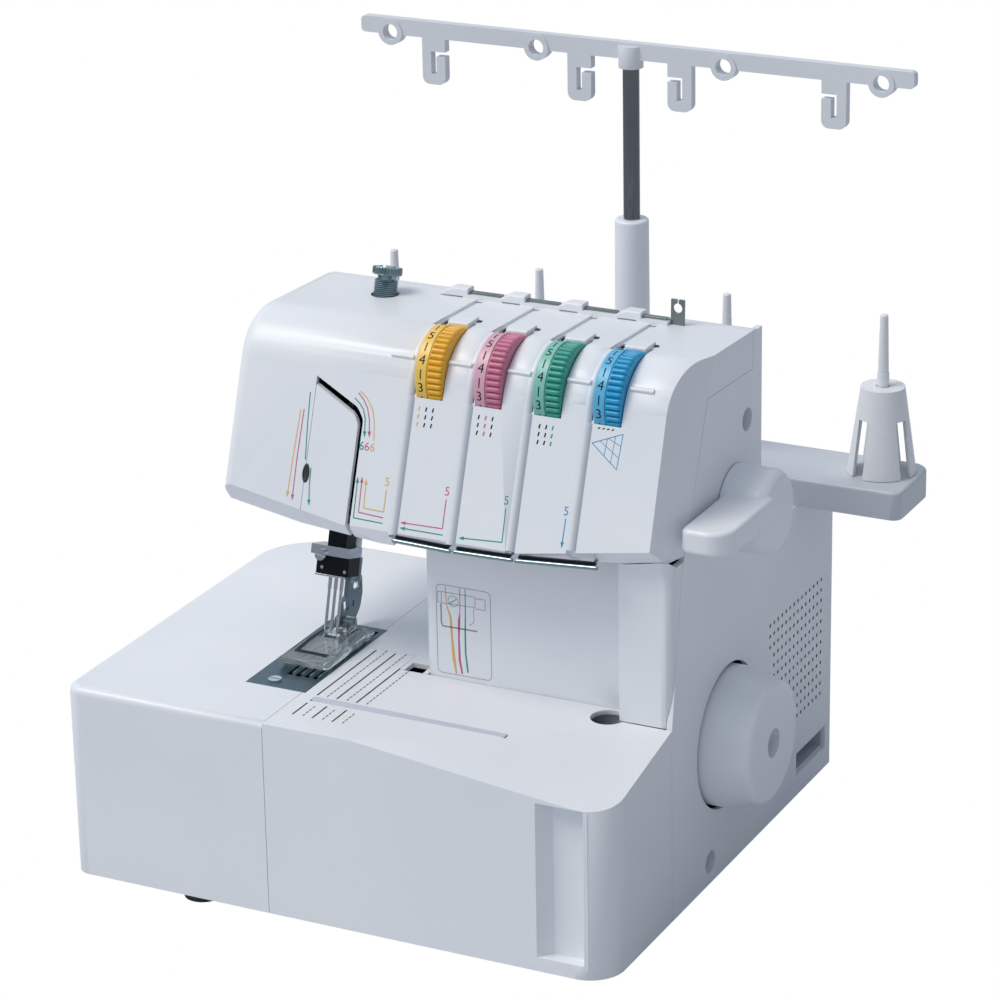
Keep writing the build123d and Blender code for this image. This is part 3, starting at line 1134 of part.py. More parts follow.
# ---------------------------------------------------------------- looper and feed
LOOPER_ARM_Y = (-39.0, -32.0)
BLADE_Y = (-36.6, -34.8)
BLADE_Z = (103.0, 105.0)
BLADE_REACH = 28.0
TOOTH = 1.6
FRONT_TEETH = (-78.0, -50.0)
REAR_TEETH = (-27.0, -18.0)


def looper_arm():
    """Looper with its arm, clamped on the looper shaft."""
    y0, y1 = LOOPER_ARM_Y
    arm = rod_y(8, LOOPER_X, y0, y1, LOOPER_Z)
    arm += block(LOOPER_X - 3, LOOPER_X + 3, y0, y1, LOOPER_Z, BLADE_Z[1] + 1)
    points = [
        (LOOPER_X, BLADE_Z[0]), (LOOPER_X, BLADE_Z[1]), (LOOPER_X - BLADE_REACH, BLADE_Z[1] - 0.2),
        (LOOPER_X - BLADE_REACH, BLADE_Z[1] - 0.8), (LOOPER_X - BLADE_REACH + 6, BLADE_Z[0]),
    ]
    arm += prism_y(points, BLADE_Y[0], BLADE_Y[1])
    return arm - rod_y(LOOPER_SHAFT_RADIUS, LOOPER_X, y0 - 1, y1 + 1, LOOPER_Z)


def feed_dog(y0, y1, stem):
    """Feed dog: four toothed rows on a carrier with a stem down to the feed bar."""
    x_left = SLOT_FIRST_X - 1
    x_right = SLOT_FIRST_X + (SLOT_COUNT - 1) * SLOT_PITCH + 1
    dog = block(x_left, x_right, y0, y1, 99, 103)
    dog += block(FEED_X0, FEED_X1, stem[0], stem[1], FEED_Z1, 103)
    dog += block(FEED_X0, FEED_X1, min(stem[0], y0), max(stem[1], y1), 99, 103)
    teeth = int((y1 - y0) / TOOTH)
    crest = [(y0, 101)]
    for index in range(teeth):
        crest += [(y0 + index * TOOTH, DOG_TOP), (y0 + (index + 0.8) * TOOTH, DOG_TOP - 1.0)]
    crest += [(y0 + teeth * TOOTH, 101)]
    for index in range(SLOT_COUNT):
        x = SLOT_FIRST_X + index * SLOT_PITCH
        row = make_face(Plane.YZ.offset(x - 0.8) * Polyline(*crest, close=True))
        dog += extrude(row, 1.6, dir=(1, 0, 0))
    return dog


DOG_TOP = 110.6
keep("looper", looper_arm())
keep("looper_shaft", rod_y(LOOPER_SHAFT_RADIUS, LOOPER_X, -62, 14, LOOPER_Z))
keep("feed_bar", block(FEED_X0, FEED_X1, -96.5, -9.5, FEED_Z0, FEED_Z1))
keep("feed_dog_front", feed_dog(FRONT_TEETH[0], FRONT_TEETH[1], (-76, -70)))
keep("feed_dog_rear", feed_dog(REAR_TEETH[0], REAR_TEETH[1], (-26, -20)))


# ---------------------------------------------------------------- needle plate
def needle_plate():
    """Steel needle plate with feed slots, needle hole and screw hole."""
    plate = block(PLATE_LEFT, PLATE_RIGHT, PLATE_FRONT, PLATE_REAR, BED_TOP - PLATE_THICK, BED_TOP)
    for index in range(SLOT_COUNT):
        x = SLOT_FIRST_X + index * SLOT_PITCH
        for y0, y1 in ((FRONT_TEETH[0] - 3.5, FRONT_TEETH[1] + 4), (REAR_TEETH[0] - 3, REAR_TEETH[1] + 3)):
            plate -= block(x - SLOT_WIDTH / 2, x + SLOT_WIDTH / 2, y0, y1, BED_TOP - 5, BED_TOP + 1)
    plate -= block(NEEDLE_X - 5, NEEDLE_X + 5, NEEDLE_Y - 5, NEEDLE_Y + 2, BED_TOP - 5, BED_TOP + 1)
    return plate - rod_z(PLATE_SCREW_RADIUS + RUN, PLATE_SCREW[0], PLATE_SCREW[1], BED_TOP - 5, BED_TOP + 1)


def plate_screw():
    """Flat-head screw with a slot, holding the needle plate."""
    x, y = PLATE_SCREW
    screw = rod_z(3.4, x, y, BED_TOP, BED_TOP + 1.1)
    return screw - block(x - 4, x + 4, y - 0.4, y + 0.4, BED_TOP + 0.5, BED_TOP + 2)


PLATE_SCREW = (-84.0, -91.0)
PLATE_SCREW_RADIUS = 2.0
keep("needle_plate", needle_plate())


# ---------------------------------------------------------------- thread tensions
DIAL_SIDE = 0.4             # gap beside a dial in its window
BAND = 6.0                  # smooth band with the numbers
RIBS = 44
RIB_RADIUS = 0.8
RAIL_Z = (DIAL_Z - 33.5, DIAL_Z - 28.5)
DISC_RADIUS = 9.0
DISC_THICK = 0.7


def tension_dial(index):
    """Tension dial: smooth numbered band on the left, fine ribs on the right."""
    x0 = dial_left(index) + DIAL_SIDE
    x1 = dial_left(index) + DIAL_WINDOW - DIAL_SIDE
    dial = rod_x(DIAL_RADIUS, x0, x1, DIAL_Y, DIAL_Z)
    dial = fillet(dial.edges().filter_by(GeomType.CIRCLE), 0.7)
    dial -= rod_x(DIAL_RADIUS + 1, x0 + BAND, x0 + BAND + 0.6, DIAL_Y, DIAL_Z) - rod_x(
        DIAL_RADIUS - 0.5, x0, x1, DIAL_Y, DIAL_Z)
    grooves = []
    for step in range(RIBS):
        turn = 2 * math.pi * (step + 0.5) / RIBS
        y = DIAL_Y + (DIAL_RADIUS + 0.1) * math.cos(turn)
        z = DIAL_Z + (DIAL_RADIUS + 0.1) * math.sin(turn)
        grooves.append(rod_x(RIB_RADIUS, x0 + BAND + 1, x1 - 0.9, y, z))
    return dial - grooves - rod_x(SPINDLE_RADIUS + RUN, x0 - 1, x1 + 1, DIAL_Y, DIAL_Z)


def tension_bracket():
    """Rail with one upright and one spindle per tension dial."""
    first = dial_left(0)
    rail = block(first + 15, dial_left(DIAL_COUNT - 1) + 20, -44, -28, RAIL_Z[0], RAIL_Z[1])
    rail += block(20, 32, -44, ARM_PLATE_FRONT, RAIL_Z[0], RAIL_Z[1])
    for index in range(DIAL_COUNT):
        left = dial_left(index)
        rail += block(left + 16, left + 19, -42, -30, RAIL_Z[0], DIAL_Z + 6)
        rail += rod_x(SPINDLE_RADIUS, left - CHANNEL_WIDTH, left + 19, DIAL_Y, DIAL_Z)
    return rail


def tension_disc(index, side):
    """Thin steel disc on a spindle, in the thread channel."""
    x = dial_left(index) - CHANNEL_WIDTH / 2 + side * 0.7 - DISC_THICK / 2
    disc = rod_x(DISC_RADIUS, x, x + DISC_THICK, DIAL_Y, DIAL_Z)
    return disc - rod_x(SPINDLE_RADIUS, x - 1, x + 2, DIAL_Y, DIAL_Z)


DIAL_NAMES = ["dial_yellow", "dial_pink", "dial_green", "dial_blue"]
for number, name in enumerate(DIAL_NAMES):
    keep(name, tension_dial(number))
keep("tension_bracket", tension_bracket())
keep("tension_discs", group(*[tension_disc(i, side) for i in range(DIAL_COUNT) for side in (-1, 1)]))


# ---------------------------------------------------------------- guides on the head
def top_guide(x, wide):
    """Bent steel strip on a low hump; the thread runs under its turned edge."""
    return top_frame() * block(x, x + wide, -1.5, 1.5, HUMP, HUMP + 1.2)


def eyelet():
    """Upright eyelet at the right end of the last guide."""
    x = TOP_GUIDES[-1][0] + TOP_GUIDES[-1][1]
    tab = block(x + 1.8, x + 9, -0.6, 0.6, 0, 13) + block(x - 2, x + 3, -0.6, 0.6, HUMP, HUMP + 1.2)
    return top_frame() * (tab - rod_y(2.4, x + 5.4, -2, 2, 8.5) - block(x + 5, x + 5.8, -2, 2, 8.5, 14))


def lower_rod(x0, above0, x1, above1):
    """One rod of the lower thread guides, with round ends."""
    start, end = Vector(x0, GUIDE_Y, HEAD_UNDER + above0), Vector(x1, GUIDE_Y, HEAD_UNDER + above1)
    rod = Plane(origin=start, z_dir=end - start) * Pos(0, 0, (end - start).length / 2)
    shape = rod * Cylinder(GUIDE_RADIUS, (end - start).length)
    return shape + Pos(*start) * Sphere(GUIDE_RADIUS) + Pos(*end) * Sphere(GUIDE_RADIUS)


def head_wire():
    """Lower thread guides: three rods along the head's lower front edge, each on two pegs."""
    rods = [lower_rod(*guide) for guide in LOWER_GUIDES]
    for index, spot in enumerate(PEG_SPOTS):
        rods[index // 2] = rods[index // 2] + lower_peg(*spot)
    return group(*rods)


guides = [top_guide(x, wide) for x, wide in TOP_GUIDES]
guides[-1] = guides[-1] + eyelet()
keep("top_thread_guides", group(*guides))
keep("head_wire", head_wire())


# ---------------------------------------------------------------- spool stand and mast
PINS = [MAST_X - PIN_OUTER, MAST_X - PIN_INNER, MAST_X + PIN_INNER, MAST_X + PIN_OUTER]
BOSS_RADIUS = 7.0
PIN_SEAT = TRAY_TOP - 11
SPIGOT_RADIUS = 2.4         # the pin's foot in its boss
FLANGE_RADIUS = 14.0
ADAPTER_LOW = 17.7
ADAPTER_HIGH = 11.3
ADAPTER_TOP = 234.0
ADAPTER_WALL = 2.0
ADAPTER_ANGLES = [-24.0, 66.0, 156.0, 246.0]
ROD_BOTTOM = 282.0


def spool_stand():
    """Hollow tray with bosses for the spool pins and the mast sleeve."""
    points = [
        (TRAY_LEFT, TRAY_FRONT), (TRAY_RIGHT, TRAY_FRONT), (TRAY_RIGHT, TRAY_REAR), (TRAY_LEFT, TRAY_REAR),
    ]
    tray = prism_z(points, REAR_BOX_TOP, TRAY_TOP, [9, 5, 10, 9])
    tray = fillet(tray.faces().sort_by(Axis.Z)[-1].edges(), 1.8)
    low, high = Plane.XY.offset(REAR_BOX_TOP - 1), TRAY_TOP - WALL - REAR_BOX_TOP + 1
    hollow = [
        (TRAY_LEFT + WALL, TRAY_FRONT + WALL), (TRAY_RIGHT - WALL, TRAY_FRONT + WALL),
        (TRAY_RIGHT - WALL, TRAY_REAR - WALL), (TRAY_LEFT + WALL, TRAY_REAR - WALL),
    ]
    tray -= extrude(low * outline(hollow, 4), high)
    for x in PINS:
        tray += rod_z(BOSS_RADIUS, x, MAST_Y, REAR_BOX_TOP, TRAY_TOP)
        tray -= rod_z(SPIGOT_RADIUS, x, MAST_Y, PIN_SEAT, TRAY_TOP + 1)
    return tray + rod_z(SLEEVE_RADIUS + 3, MAST_X, MAST_Y, REAR_BOX_TOP, TRAY_TOP)


def spool_pin(x):
    """Spool pin with a plain lower part and a tapered end."""
    pin = rod_z(SPIGOT_RADIUS, x, MAST_Y, PIN_SEAT, TRAY_TOP)
    pin += rod_z(PIN_RADIUS, x, MAST_Y, TRAY_TOP, PIN_STEP)
    pin += cone_z(PIN_RADIUS - 0.3, PIN_RADIUS - 1.05, x, MAST_Y, PIN_STEP, PIN_TOP)
    return fillet(pin.faces().sort_by(Axis.Z)[-1].edges(), 0.9)


def cone_adapter():
    """Adapter for cones: windowed outer cone and inner tube joined at the top."""
    x, y, low = PINS[-1], MAST_Y, TRAY_TOP + 0.3
    adapter = cone_z(ADAPTER_LOW, ADAPTER_HIGH, x, y, low, ADAPTER_TOP)
    inner_low, inner_high = ADAPTER_LOW - ADAPTER_WALL, ADAPTER_HIGH - ADAPTER_WALL
    adapter -= cone_z(inner_low, inner_high, x, y, low - 0.1, ADAPTER_TOP - 3)
    adapter += rod_z(5.2, x, y, TRAY_TOP + 8, ADAPTER_TOP)
    adapter -= rod_z(PIN_RADIUS + FIT + 0.2, x, y, low - 1, ADAPTER_TOP + 1)
    for angle in ADAPTER_ANGLES:
        place = Pos(x, y, 0) * Rot(0, 0, angle)
        adapter -= place * block(8, 24, -3.5, 3.5, low - 1, ADAPTER_TOP - 16)
    return adapter


def mast_sleeve():
    """Tapered sleeve for the telescopic mast, with a foot flange."""
    sleeve = cone_z(SLEEVE_RADIUS, SLEEVE_TOP_RADIUS, MAST_X, MAST_Y, TRAY_TOP, SLEEVE_TOP)
    sleeve = fillet(sleeve.faces().sort_by(Axis.Z)[-1].edges(), 1.5)
    sleeve += rod_z(FLANGE_RADIUS, MAST_X, MAST_Y, TRAY_TOP, TRAY_TOP + 2)
    return sleeve - rod_z(MAST_RADIUS + RUN, MAST_X, MAST_Y, TRAY_TOP + 2, SLEEVE_TOP + 1)


def tree_hook(offset_x, side):
    """Hanging hook with an L-shaped thread slot that opens to one side."""
    x = MAST_X + offset_x
    half = HOOK_WIDE / 2
    y0, y1 = MAST_Y - TREE_THICK / 2, MAST_Y + TREE_THICK / 2
    low, mouth = TREE_BOTTOM - HOOK_DROP, TREE_BOTTOM - HOOK_MOUTH
    points = [(x - half, low), (x + half, low), (x + half, TREE_BOTTOM + 2), (x - half, TREE_BOTTOM + 2)]
    hook = prism_y(points, y0, y1, [4, 4, 0, 0])
    ends = sorted([x, x + side * 20])
    hook -= block(ends[0], ends[1], y0 - 1, y1 + 1, mouth - 2.6, mouth)
    return hook - block(x - 1.5, x + 1.5, y0 - 1, y1 + 1, low + 5.5, mouth)


def thread_tree():
    """Cross bar with rings and hooks on a domed cap."""
    y0, y1 = MAST_Y - TREE_THICK / 2, MAST_Y + TREE_THICK / 2
    top = TREE_BOTTOM + TREE_HEIGHT
    points = [
        (MAST_X - TREE_HALF, TREE_BOTTOM), (MAST_X + TREE_HALF, TREE_BOTTOM),
        (MAST_X + TREE_HALF, top), (MAST_X - TREE_HALF, top),
    ]
    tree = prism_y(points, y0, y1, 2.4)
    for offset_x, side in ((-111.7, 1), (-28.0, 1), (28.0, -1), (111.7, -1)):
        tree += tree_hook(offset_x, side)
    z = TREE_BOTTOM + 1.2
    for offset_x in (-RING_OUTER, -RING_INNER, RING_INNER, RING_OUTER):
        tree += rod_y(RING_RADIUS, MAST_X + offset_x, y0 - 0.6, y1 + 0.6, z)
    for offset_x in (-RING_OUTER, -RING_INNER, RING_INNER, RING_OUTER):
        tree -= rod_y(RING_HOLE, MAST_X + offset_x, y0 - 2, y1 + 2, z)
    tree += rod_z(CAP_RADIUS, MAST_X, MAST_Y, TREE_BOTTOM - 4.5, top - 1.6)
    return tree - rod_z(MAST_RADIUS + RUN, MAST_X, MAST_Y, TREE_BOTTOM - 6, MAST_TOP + 0.1)


CAP_RADIUS = 6.4
HOOK_WIDE = 13.3
HOOK_DROP = 24.5            # hook below the bar, and its side slot below the bar
HOOK_MOUTH = 6.9
keep("spool_stand", spool_stand())
keep("spool_pins", group(*[spool_pin(x) for x in PINS]))
keep("cone_adapter", cone_adapter())
keep("mast_sleeve", mast_sleeve())
keep("mast_rod", rod_z(MAST_RADIUS, MAST_X, MAST_Y, ROD_BOTTOM, MAST_TOP))
keep("thread_tree", thread_tree())


# ---------------------------------------------------------------- controls and electrics
BOARD = (20.0, 104.0, 92.0, 150.0)    # power board, x and z range
BOARD_THICK = 1.6
STAND_OFF = 6.9
INLET_DEPTH = 20.0
HOUSING_Y = 126.0
STITCH_RADIUS = 13.0


def inlet_socket():
    """Recessed inlet with three contact pins."""
    y0, y1, z0, z1 = SOCKET[0] + FIT, SOCKET[1] - FIT, SOCKET[2] + FIT, SOCKET[3] - FIT
    x1 = BODY_RIGHT - 1.5
    housing = block(x1 - INLET_DEPTH, x1, y0, y1, z0, z1)
    housing -= block(x1 - INLET_DEPTH + 3, x1 + 1, y0 + 2, y1 - 2, z0 + 1.8, z1 - 1.8)
    z = (z0 + z1) / 2
    for y in (y0 + 9, (y0 + y1) / 2, y1 - 9):
        housing += rod_x(1.4, x1 - INLET_DEPTH + 2, x1 - 5, y, z)
    return housing


def switch_housing():
    """Frame of the rocker switch in the rear cover."""
    x0, x1 = SWITCH_X - SWITCH_WIDE / 2, SWITCH_X + SWITCH_WIDE / 2
    z0, z1 = SWITCH_Z - SWITCH_HIGH / 2, SWITCH_Z + SWITCH_HIGH / 2
    housing = block(x0, x1, HOUSING_Y, REAR, z0, z1)
    housing -= block(x0 + 2, x1 - 2, HOUSING_Y + 2, REAR + 1, z0 + 2, z1 - 2)
    return housing - rod_x(1.2 + RUN, x0 + 0.8, x1 - 0.8, REAR - 4, SWITCH_Z)


def switch_rocker():
    """Rocker with a shallow V face and two pivot stubs."""
    half = SWITCH_WIDE / 2 - 2 - FIT
    points = [
        (REAR - 8, SWITCH_Z - 4.3), (REAR - 0.3, SWITCH_Z - 4.3), (REAR - 1.3, SWITCH_Z),
        (REAR - 0.3, SWITCH_Z + 4.3), (REAR - 8, SWITCH_Z + 4.3),
    ]
    rocker = prism_x(points, SWITCH_X - half, SWITCH_X + half)
    return rocker + rod_x(1.2, SWITCH_X - half - 1.3, SWITCH_X + half + 1.3, REAR - 4, SWITCH_Z)


def stitch_dial():
    """Stitch length dial behind the looper cover."""
    dial = rod_y(STITCH_RADIUS, STITCH_X, -63, -52 - FIT, STITCH_Z)
    dial = fillet(dial.edges().filter_by(GeomType.CIRCLE), 1)
    dial += rod_y(STITCH_SPINDLE, STITCH_X, -53, -40, STITCH_Z)
    notches = []
    for step in range(18):
        turn = math.radians(step * 20)
        x, z = STITCH_X + STITCH_RADIUS * math.cos(turn), STITCH_Z + STITCH_RADIUS * math.sin(turn)
        notches.append(rod_y(0.9, x, -64, -55, z))
    return dial - notches


def power_board():
    """Circuit board with its parts, on four stand-offs on the rear wall."""
    x0, x1, z0, z1 = BOARD
    rear = REAR - WALL
    front = rear - STAND_OFF - BOARD_THICK
    board = block(x0, x1, front, front + BOARD_THICK, z0, z1)
    for x in (x0 + 5, x1 - 5):
        for z in (z0 + 5, z1 - 5):
            board += rod_y(2.5, x, front + BOARD_THICK, rear, z)
    board += block(x0 + 10, x0 + 34, front - 15, front, z0 + 6, z0 + 32)
    board += block(x0 + 42, x0 + 54, front - 10, front, z0 + 8, z0 + 20)
    return board + rod_y(6, x1 - 18, front - 22, front, z1 - 18) + block(
        x0 + 8, x0 + 38, front - 8, front, z1 - 18, z1 - 8)


def cover_screw(y, z):
    """Screw at the bottom of a well in the side cover."""
    x = BODY_RIGHT - WELL_DEPTH
    screw = rod_x(SCREW_HEAD, x, x + 2.4, y, z) + rod_x(SCREW_SHANK, x - 10, x, y, z)
    return screw - block(x + 1.4, x + 3, y - 3, y + 3, z - 0.5, z + 0.5)


keep("inlet_socket", inlet_socket())
keep("switch_housing", switch_housing())
keep("switch_rocker", switch_rocker())
keep("stitch_dial", stitch_dial())
keep("power_board", power_board())
keep("cover_screws", group(plate_screw(), *[cover_screw(y, z) for y, z in SCREW_SPOTS]))

for name, shape in PARTS.items():
    export_step(shape, f"parts/{name}.step")
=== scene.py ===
import math
import bmesh
import bpy
import numpy as np
from mathutils import Matrix, Vector


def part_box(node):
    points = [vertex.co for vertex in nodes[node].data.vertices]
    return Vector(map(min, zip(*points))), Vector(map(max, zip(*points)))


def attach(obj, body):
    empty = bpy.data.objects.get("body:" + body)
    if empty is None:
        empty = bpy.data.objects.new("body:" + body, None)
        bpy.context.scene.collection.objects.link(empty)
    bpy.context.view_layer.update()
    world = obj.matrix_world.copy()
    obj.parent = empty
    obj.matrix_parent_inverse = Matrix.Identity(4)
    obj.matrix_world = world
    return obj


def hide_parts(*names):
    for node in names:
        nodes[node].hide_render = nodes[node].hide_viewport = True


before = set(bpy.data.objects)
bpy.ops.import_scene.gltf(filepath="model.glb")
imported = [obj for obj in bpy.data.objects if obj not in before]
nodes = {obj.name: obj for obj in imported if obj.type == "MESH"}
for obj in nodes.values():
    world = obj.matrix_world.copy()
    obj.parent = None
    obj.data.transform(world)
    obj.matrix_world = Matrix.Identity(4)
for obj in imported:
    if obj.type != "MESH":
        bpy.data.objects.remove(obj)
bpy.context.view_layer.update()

# ---------------------------------------------------------------- studio
# A pale table top that runs on as the backdrop, a large soft lamp overhead on the left and an even sky.
# The camera stands to the right of the front, a little above the machine, with a long lens.
CAMERA_AT = (0.82973, -1.6474, 0.89258)
CAMERA_TURN = math.radians(26.79)
CAMERA_TIP = math.radians(20.89)
CAMERA_ROLL = math.radians(-1.07)
camera_data = bpy.data.cameras.new("camera")
camera_data.lens = 141.26
camera_data.sensor_width = 36.0
camera_data.clip_end = 20.0
camera = bpy.data.objects.new("camera", camera_data)
across = Vector((math.cos(CAMERA_TURN), math.sin(CAMERA_TURN), 0))
ahead = Vector((-math.sin(CAMERA_TURN) * math.cos(CAMERA_TIP), math.cos(CAMERA_TURN) * math.cos(CAMERA_TIP),
                -math.sin(CAMERA_TIP)))
upward = across.cross(ahead)
right = math.cos(CAMERA_ROLL) * across + math.sin(CAMERA_ROLL) * upward
upright = -math.sin(CAMERA_ROLL) * across + math.cos(CAMERA_ROLL) * upward
camera.matrix_world = Matrix((
    (right.x, upright.x, -ahead.x, CAMERA_AT[0]),
    (right.y, upright.y, -ahead.y, CAMERA_AT[1]),
    (right.z, upright.z, -ahead.z, CAMERA_AT[2]),
    (0, 0, 0, 1)))
bpy.context.collection.objects.link(camera)
bpy.context.scene.camera = camera
bpy.context.scene.view_settings.view_transform = "Standard"


def colour(code):
    """sRGB hex code to the linear colour that a shader takes."""
    parts = [int(code[i:i + 2], 16) / 255 for i in (1, 3, 5)]
    return tuple(c / 12.92 if c < 0.04045 else ((c + 0.055) / 1.055) ** 2.4 for c in parts) + (1.0,)


def add(tree, kind, inputs=(), **settings):
    """Adds one node; inputs pairs a socket's name or number with a value or with another node's output."""
    made = tree.nodes.new(kind)
    for name, value in settings.items():
        setattr(made, name, value)
    for socket, value in dict(inputs).items():
        if isinstance(value, bpy.types.NodeSocket):
            tree.links.new(value, made.inputs[socket])
        else:
            made.inputs[socket].default_value = value
    return made


def new_material(name):
    """An empty node material, with its tree, its output and its Object coordinates."""
    material = bpy.data.materials.new(name)
    material.use_nodes = True
    material.node_tree.nodes.clear()
    tree = material.node_tree
    out = add(tree, "ShaderNodeOutputMaterial")
    where = add(tree, "ShaderNodeTexCoord").outputs["Object"]
    return material, tree, out, where


# The sky is brighter on the left. Gloss sees it brighten upwards, and the camera and clear plastic see white.
world = bpy.data.worlds.new("sky")
bpy.context.scene.world = world
world.use_nodes = True
sky = world.node_tree
sky.nodes.clear()
toward = add(sky, "ShaderNodeSeparateXYZ", {0: add(sky, "ShaderNodeTexCoord").outputs["Generated"]})
side = add(sky, "ShaderNodeMapRange", {
    "Value": toward.outputs["X"], "From Min": -1.0, "To Min": 0.96, "To Max": 0.26})
sheen = add(sky, "ShaderNodeMapRange", {
    "Value": toward.outputs["Z"], "From Min": -0.05, "From Max": 0.6, "To Min": 0.10, "To Max": 1.25})
ray = add(sky, "ShaderNodeLightPath")
seen = add(sky, "ShaderNodeMath", {0: ray.outputs["Is Camera Ray"], 1: ray.outputs["Is Transmission Ray"]},
           operation="MAXIMUM")
soft = add(sky, "ShaderNodeMix", {0: ray.outputs["Is Glossy Ray"], 2: side.outputs[0], 3: sheen.outputs[0]})
level = add(sky, "ShaderNodeMix", {0: seen.outputs[0], 2: soft.outputs[0], 3: 1.0})
tint = add(sky, "ShaderNodeMix", {0: seen.outputs[0], 6: colour("#E4EEFD"), 7: colour("#FFFFFF")},
           data_type="RGBA")
air = add(sky, "ShaderNodeBackground", {"Color": tint.outputs[2], "Strength": level.outputs[0]})
add(sky, "ShaderNodeOutputWorld", {"Surface": air.outputs[0]})

lamp_data = bpy.data.lights.new("overhead", "SUN")
lamp_data.energy = 1.55
lamp_data.color = (1.0, 0.945, 0.845)
lamp_data.angle = math.radians(28)
lamp = bpy.data.objects.new("overhead", lamp_data)
lamp.rotation_euler = Vector((0.42, 0.36, -0.83)).to_track_quat("-Z", "Y").to_euler()
bpy.context.collection.objects.link(lamp)

# Matt paper: no gloss, and a pale grey that bounces light up. The camera and clear plastic see plain white.
FLOOR_REACH = 6.0
FLOOR_Z = -0.0005
floor_mesh = bpy.data.meshes.new("floor")
floor_mesh.from_pydata([(x, y, FLOOR_Z) for x, y in (
    (-FLOOR_REACH, -FLOOR_REACH), (FLOOR_REACH, -FLOOR_REACH),
    (FLOOR_REACH, FLOOR_REACH), (-FLOOR_REACH, FLOOR_REACH))], [], [(0, 1, 2, 3)])
floor = bpy.data.objects.new("floor", floor_mesh)
bpy.context.collection.objects.link(floor)
paper, tree, out, where = new_material("matt_paper")
sheet = add(tree, "ShaderNodeBsdfPrincipled", {"Base Color": colour("#C3C7CC"), "Roughness": 0.9})
glow = add(tree, "ShaderNodeEmission", {"Color": colour("#FFFFFF"), "Strength": 1.0})
ray = add(tree, "ShaderNodeLightPath")
seen = add(tree, "ShaderNodeMath", {0: ray.outputs["Is Camera Ray"], 1: ray.outputs["Is Transmission Ray"]},
           operation="MAXIMUM")
shade = add(tree, "ShaderNodeMixShader", {0: seen.outputs[0], 1: sheet.outputs[0], 2: glow.outputs[0]})
tree.links.new(shade.outputs[0], out.inputs[0])
floor.data.materials.append(paper)


# ---------------------------------------------------------------- moulded covers
# Covers of the bed, column and head, the lever and the handwheel: ABS, injection moulded in cool white.
# The covers' edges are broken by the mould's radius and catch a thin line of light.
def moulded(name, code, dark, roughness, grain_mm, depth):
    """Moulded plastic: colour drifting slowly towards `dark`, fine grain as bump and in the roughness."""
    material, tree, out, where = new_material(name)
    drift = add(tree, "ShaderNodeTexNoise", {"Vector": where, "Scale": 9.0, "Detail": 3.0})
    ramp = add(tree, "ShaderNodeMapRange", {"Value": drift.outputs["Fac"], "From Min": 0.35, "From Max": 0.7})
    tone = add(tree, "ShaderNodeMix", {0: ramp.outputs[0], 6: colour(code), 7: colour(dark)},
               data_type="RGBA")
    grain = add(tree, "ShaderNodeTexNoise", {"Vector": where, "Scale": 1000.0 / grain_mm, "Detail": 2.0})
    rub = add(tree, "ShaderNodeMapRange", {
        "Value": grain.outputs["Fac"], "To Min": roughness - 0.06, "To Max": roughness + 0.06})
    relief = add(tree, "ShaderNodeBump", {
        "Height": grain.outputs["Fac"], "Strength": depth, "Distance": 0.0002})
    shade = add(tree, "ShaderNodeBsdfPrincipled", {
        "Base Color": tone.outputs[2], "Roughness": rub.outputs[0], "Normal": relief.outputs[0], "IOR": 1.52})
    tree.links.new(shade.outputs[0], out.inputs[0])
    return material


def dress(material, *names):
    """Gives carried-over solids one material."""
    for name in names:
        nodes[name].data.materials.clear()
        nodes[name].data.materials.append(material)


def soften(width_mm, *names):
    """Joins a solid's loose triangles and rounds the edges that turn by more than 38 degrees."""
    for name in names:
        weld = nodes[name].modifiers.new("weld", "WELD")
        weld.merge_threshold = 0.000005
        edge = nodes[name].modifiers.new("edge", "BEVEL")
        edge.width = width_mm / 1000
        edge.segments = 2
        edge.limit_method = "ANGLE"
        edge.angle_limit = math.radians(38)
        edge.use_clamp_overlap = True
        edge.harden_normals = True


# White ABS: cool white, satin, with a grain that only breaks up the highlights.
white_abs = moulded("white_abs", "#ECEEF2", "#E6E9EE", 0.34, 0.6, 0.10)
softened = ["bed_cover", "looper_cover", "column_cover", "rear_cover", "head_cover", "needle_panel",
            "head_rear_cover"]
dress(white_abs, *softened, "side_cover", "head_floor", "presser_lever", "handwheel")
soften(0.5, *softened)


# ---------------------------------------------------------------- tension dials
# Four ABS dials, each moulded in its thread's colour and free to turn in its window: a smooth paler band with
# pad-printed black numbers on the left, and rounded ribs for the finger on the right.
def surface(points, closed=False, loop=False):
    """Mesh of one quad per cell of an (n, m, 3) grid of points in mm; points that coincide are one corner.

    closed joins the grid's last row to its first, and loop its last column to its first. A face looks along
    the cross product of the step to the next column and the step to the next row.
    """
    n, m = points.shape[:2]
    index = np.arange(n * m).reshape(n, m)
    if closed:
        index = np.vstack([index, index[:1]])
    if loop:
        index = np.hstack([index, index[:, :1]])
    a, b, c, d = index[:-1, :-1], index[:-1, 1:], index[1:, 1:], index[1:, :-1]
    faces = np.stack([a, b, c, d], axis=-1).reshape(-1, 4)
    mesh = bpy.data.meshes.new("surface")
    mesh.from_pydata((points.reshape(-1, 3) / 1000).tolist(), [], faces.tolist())
    shape = bmesh.new()
    shape.from_mesh(mesh)
    bmesh.ops.remove_doubles(shape, verts=shape.verts[:], dist=1e-7)
    shape.to_mesh(mesh)
    shape.free()
    return mesh


def piece(name, mesh, material, body):
    """Puts a mesh in the scene as a piece that rides a body."""
    made = bpy.data.objects.new(name, mesh)
    mesh.name = name
    mesh.materials.append(material)
    bpy.context.collection.objects.link(made)
    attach(made, body)
    return made


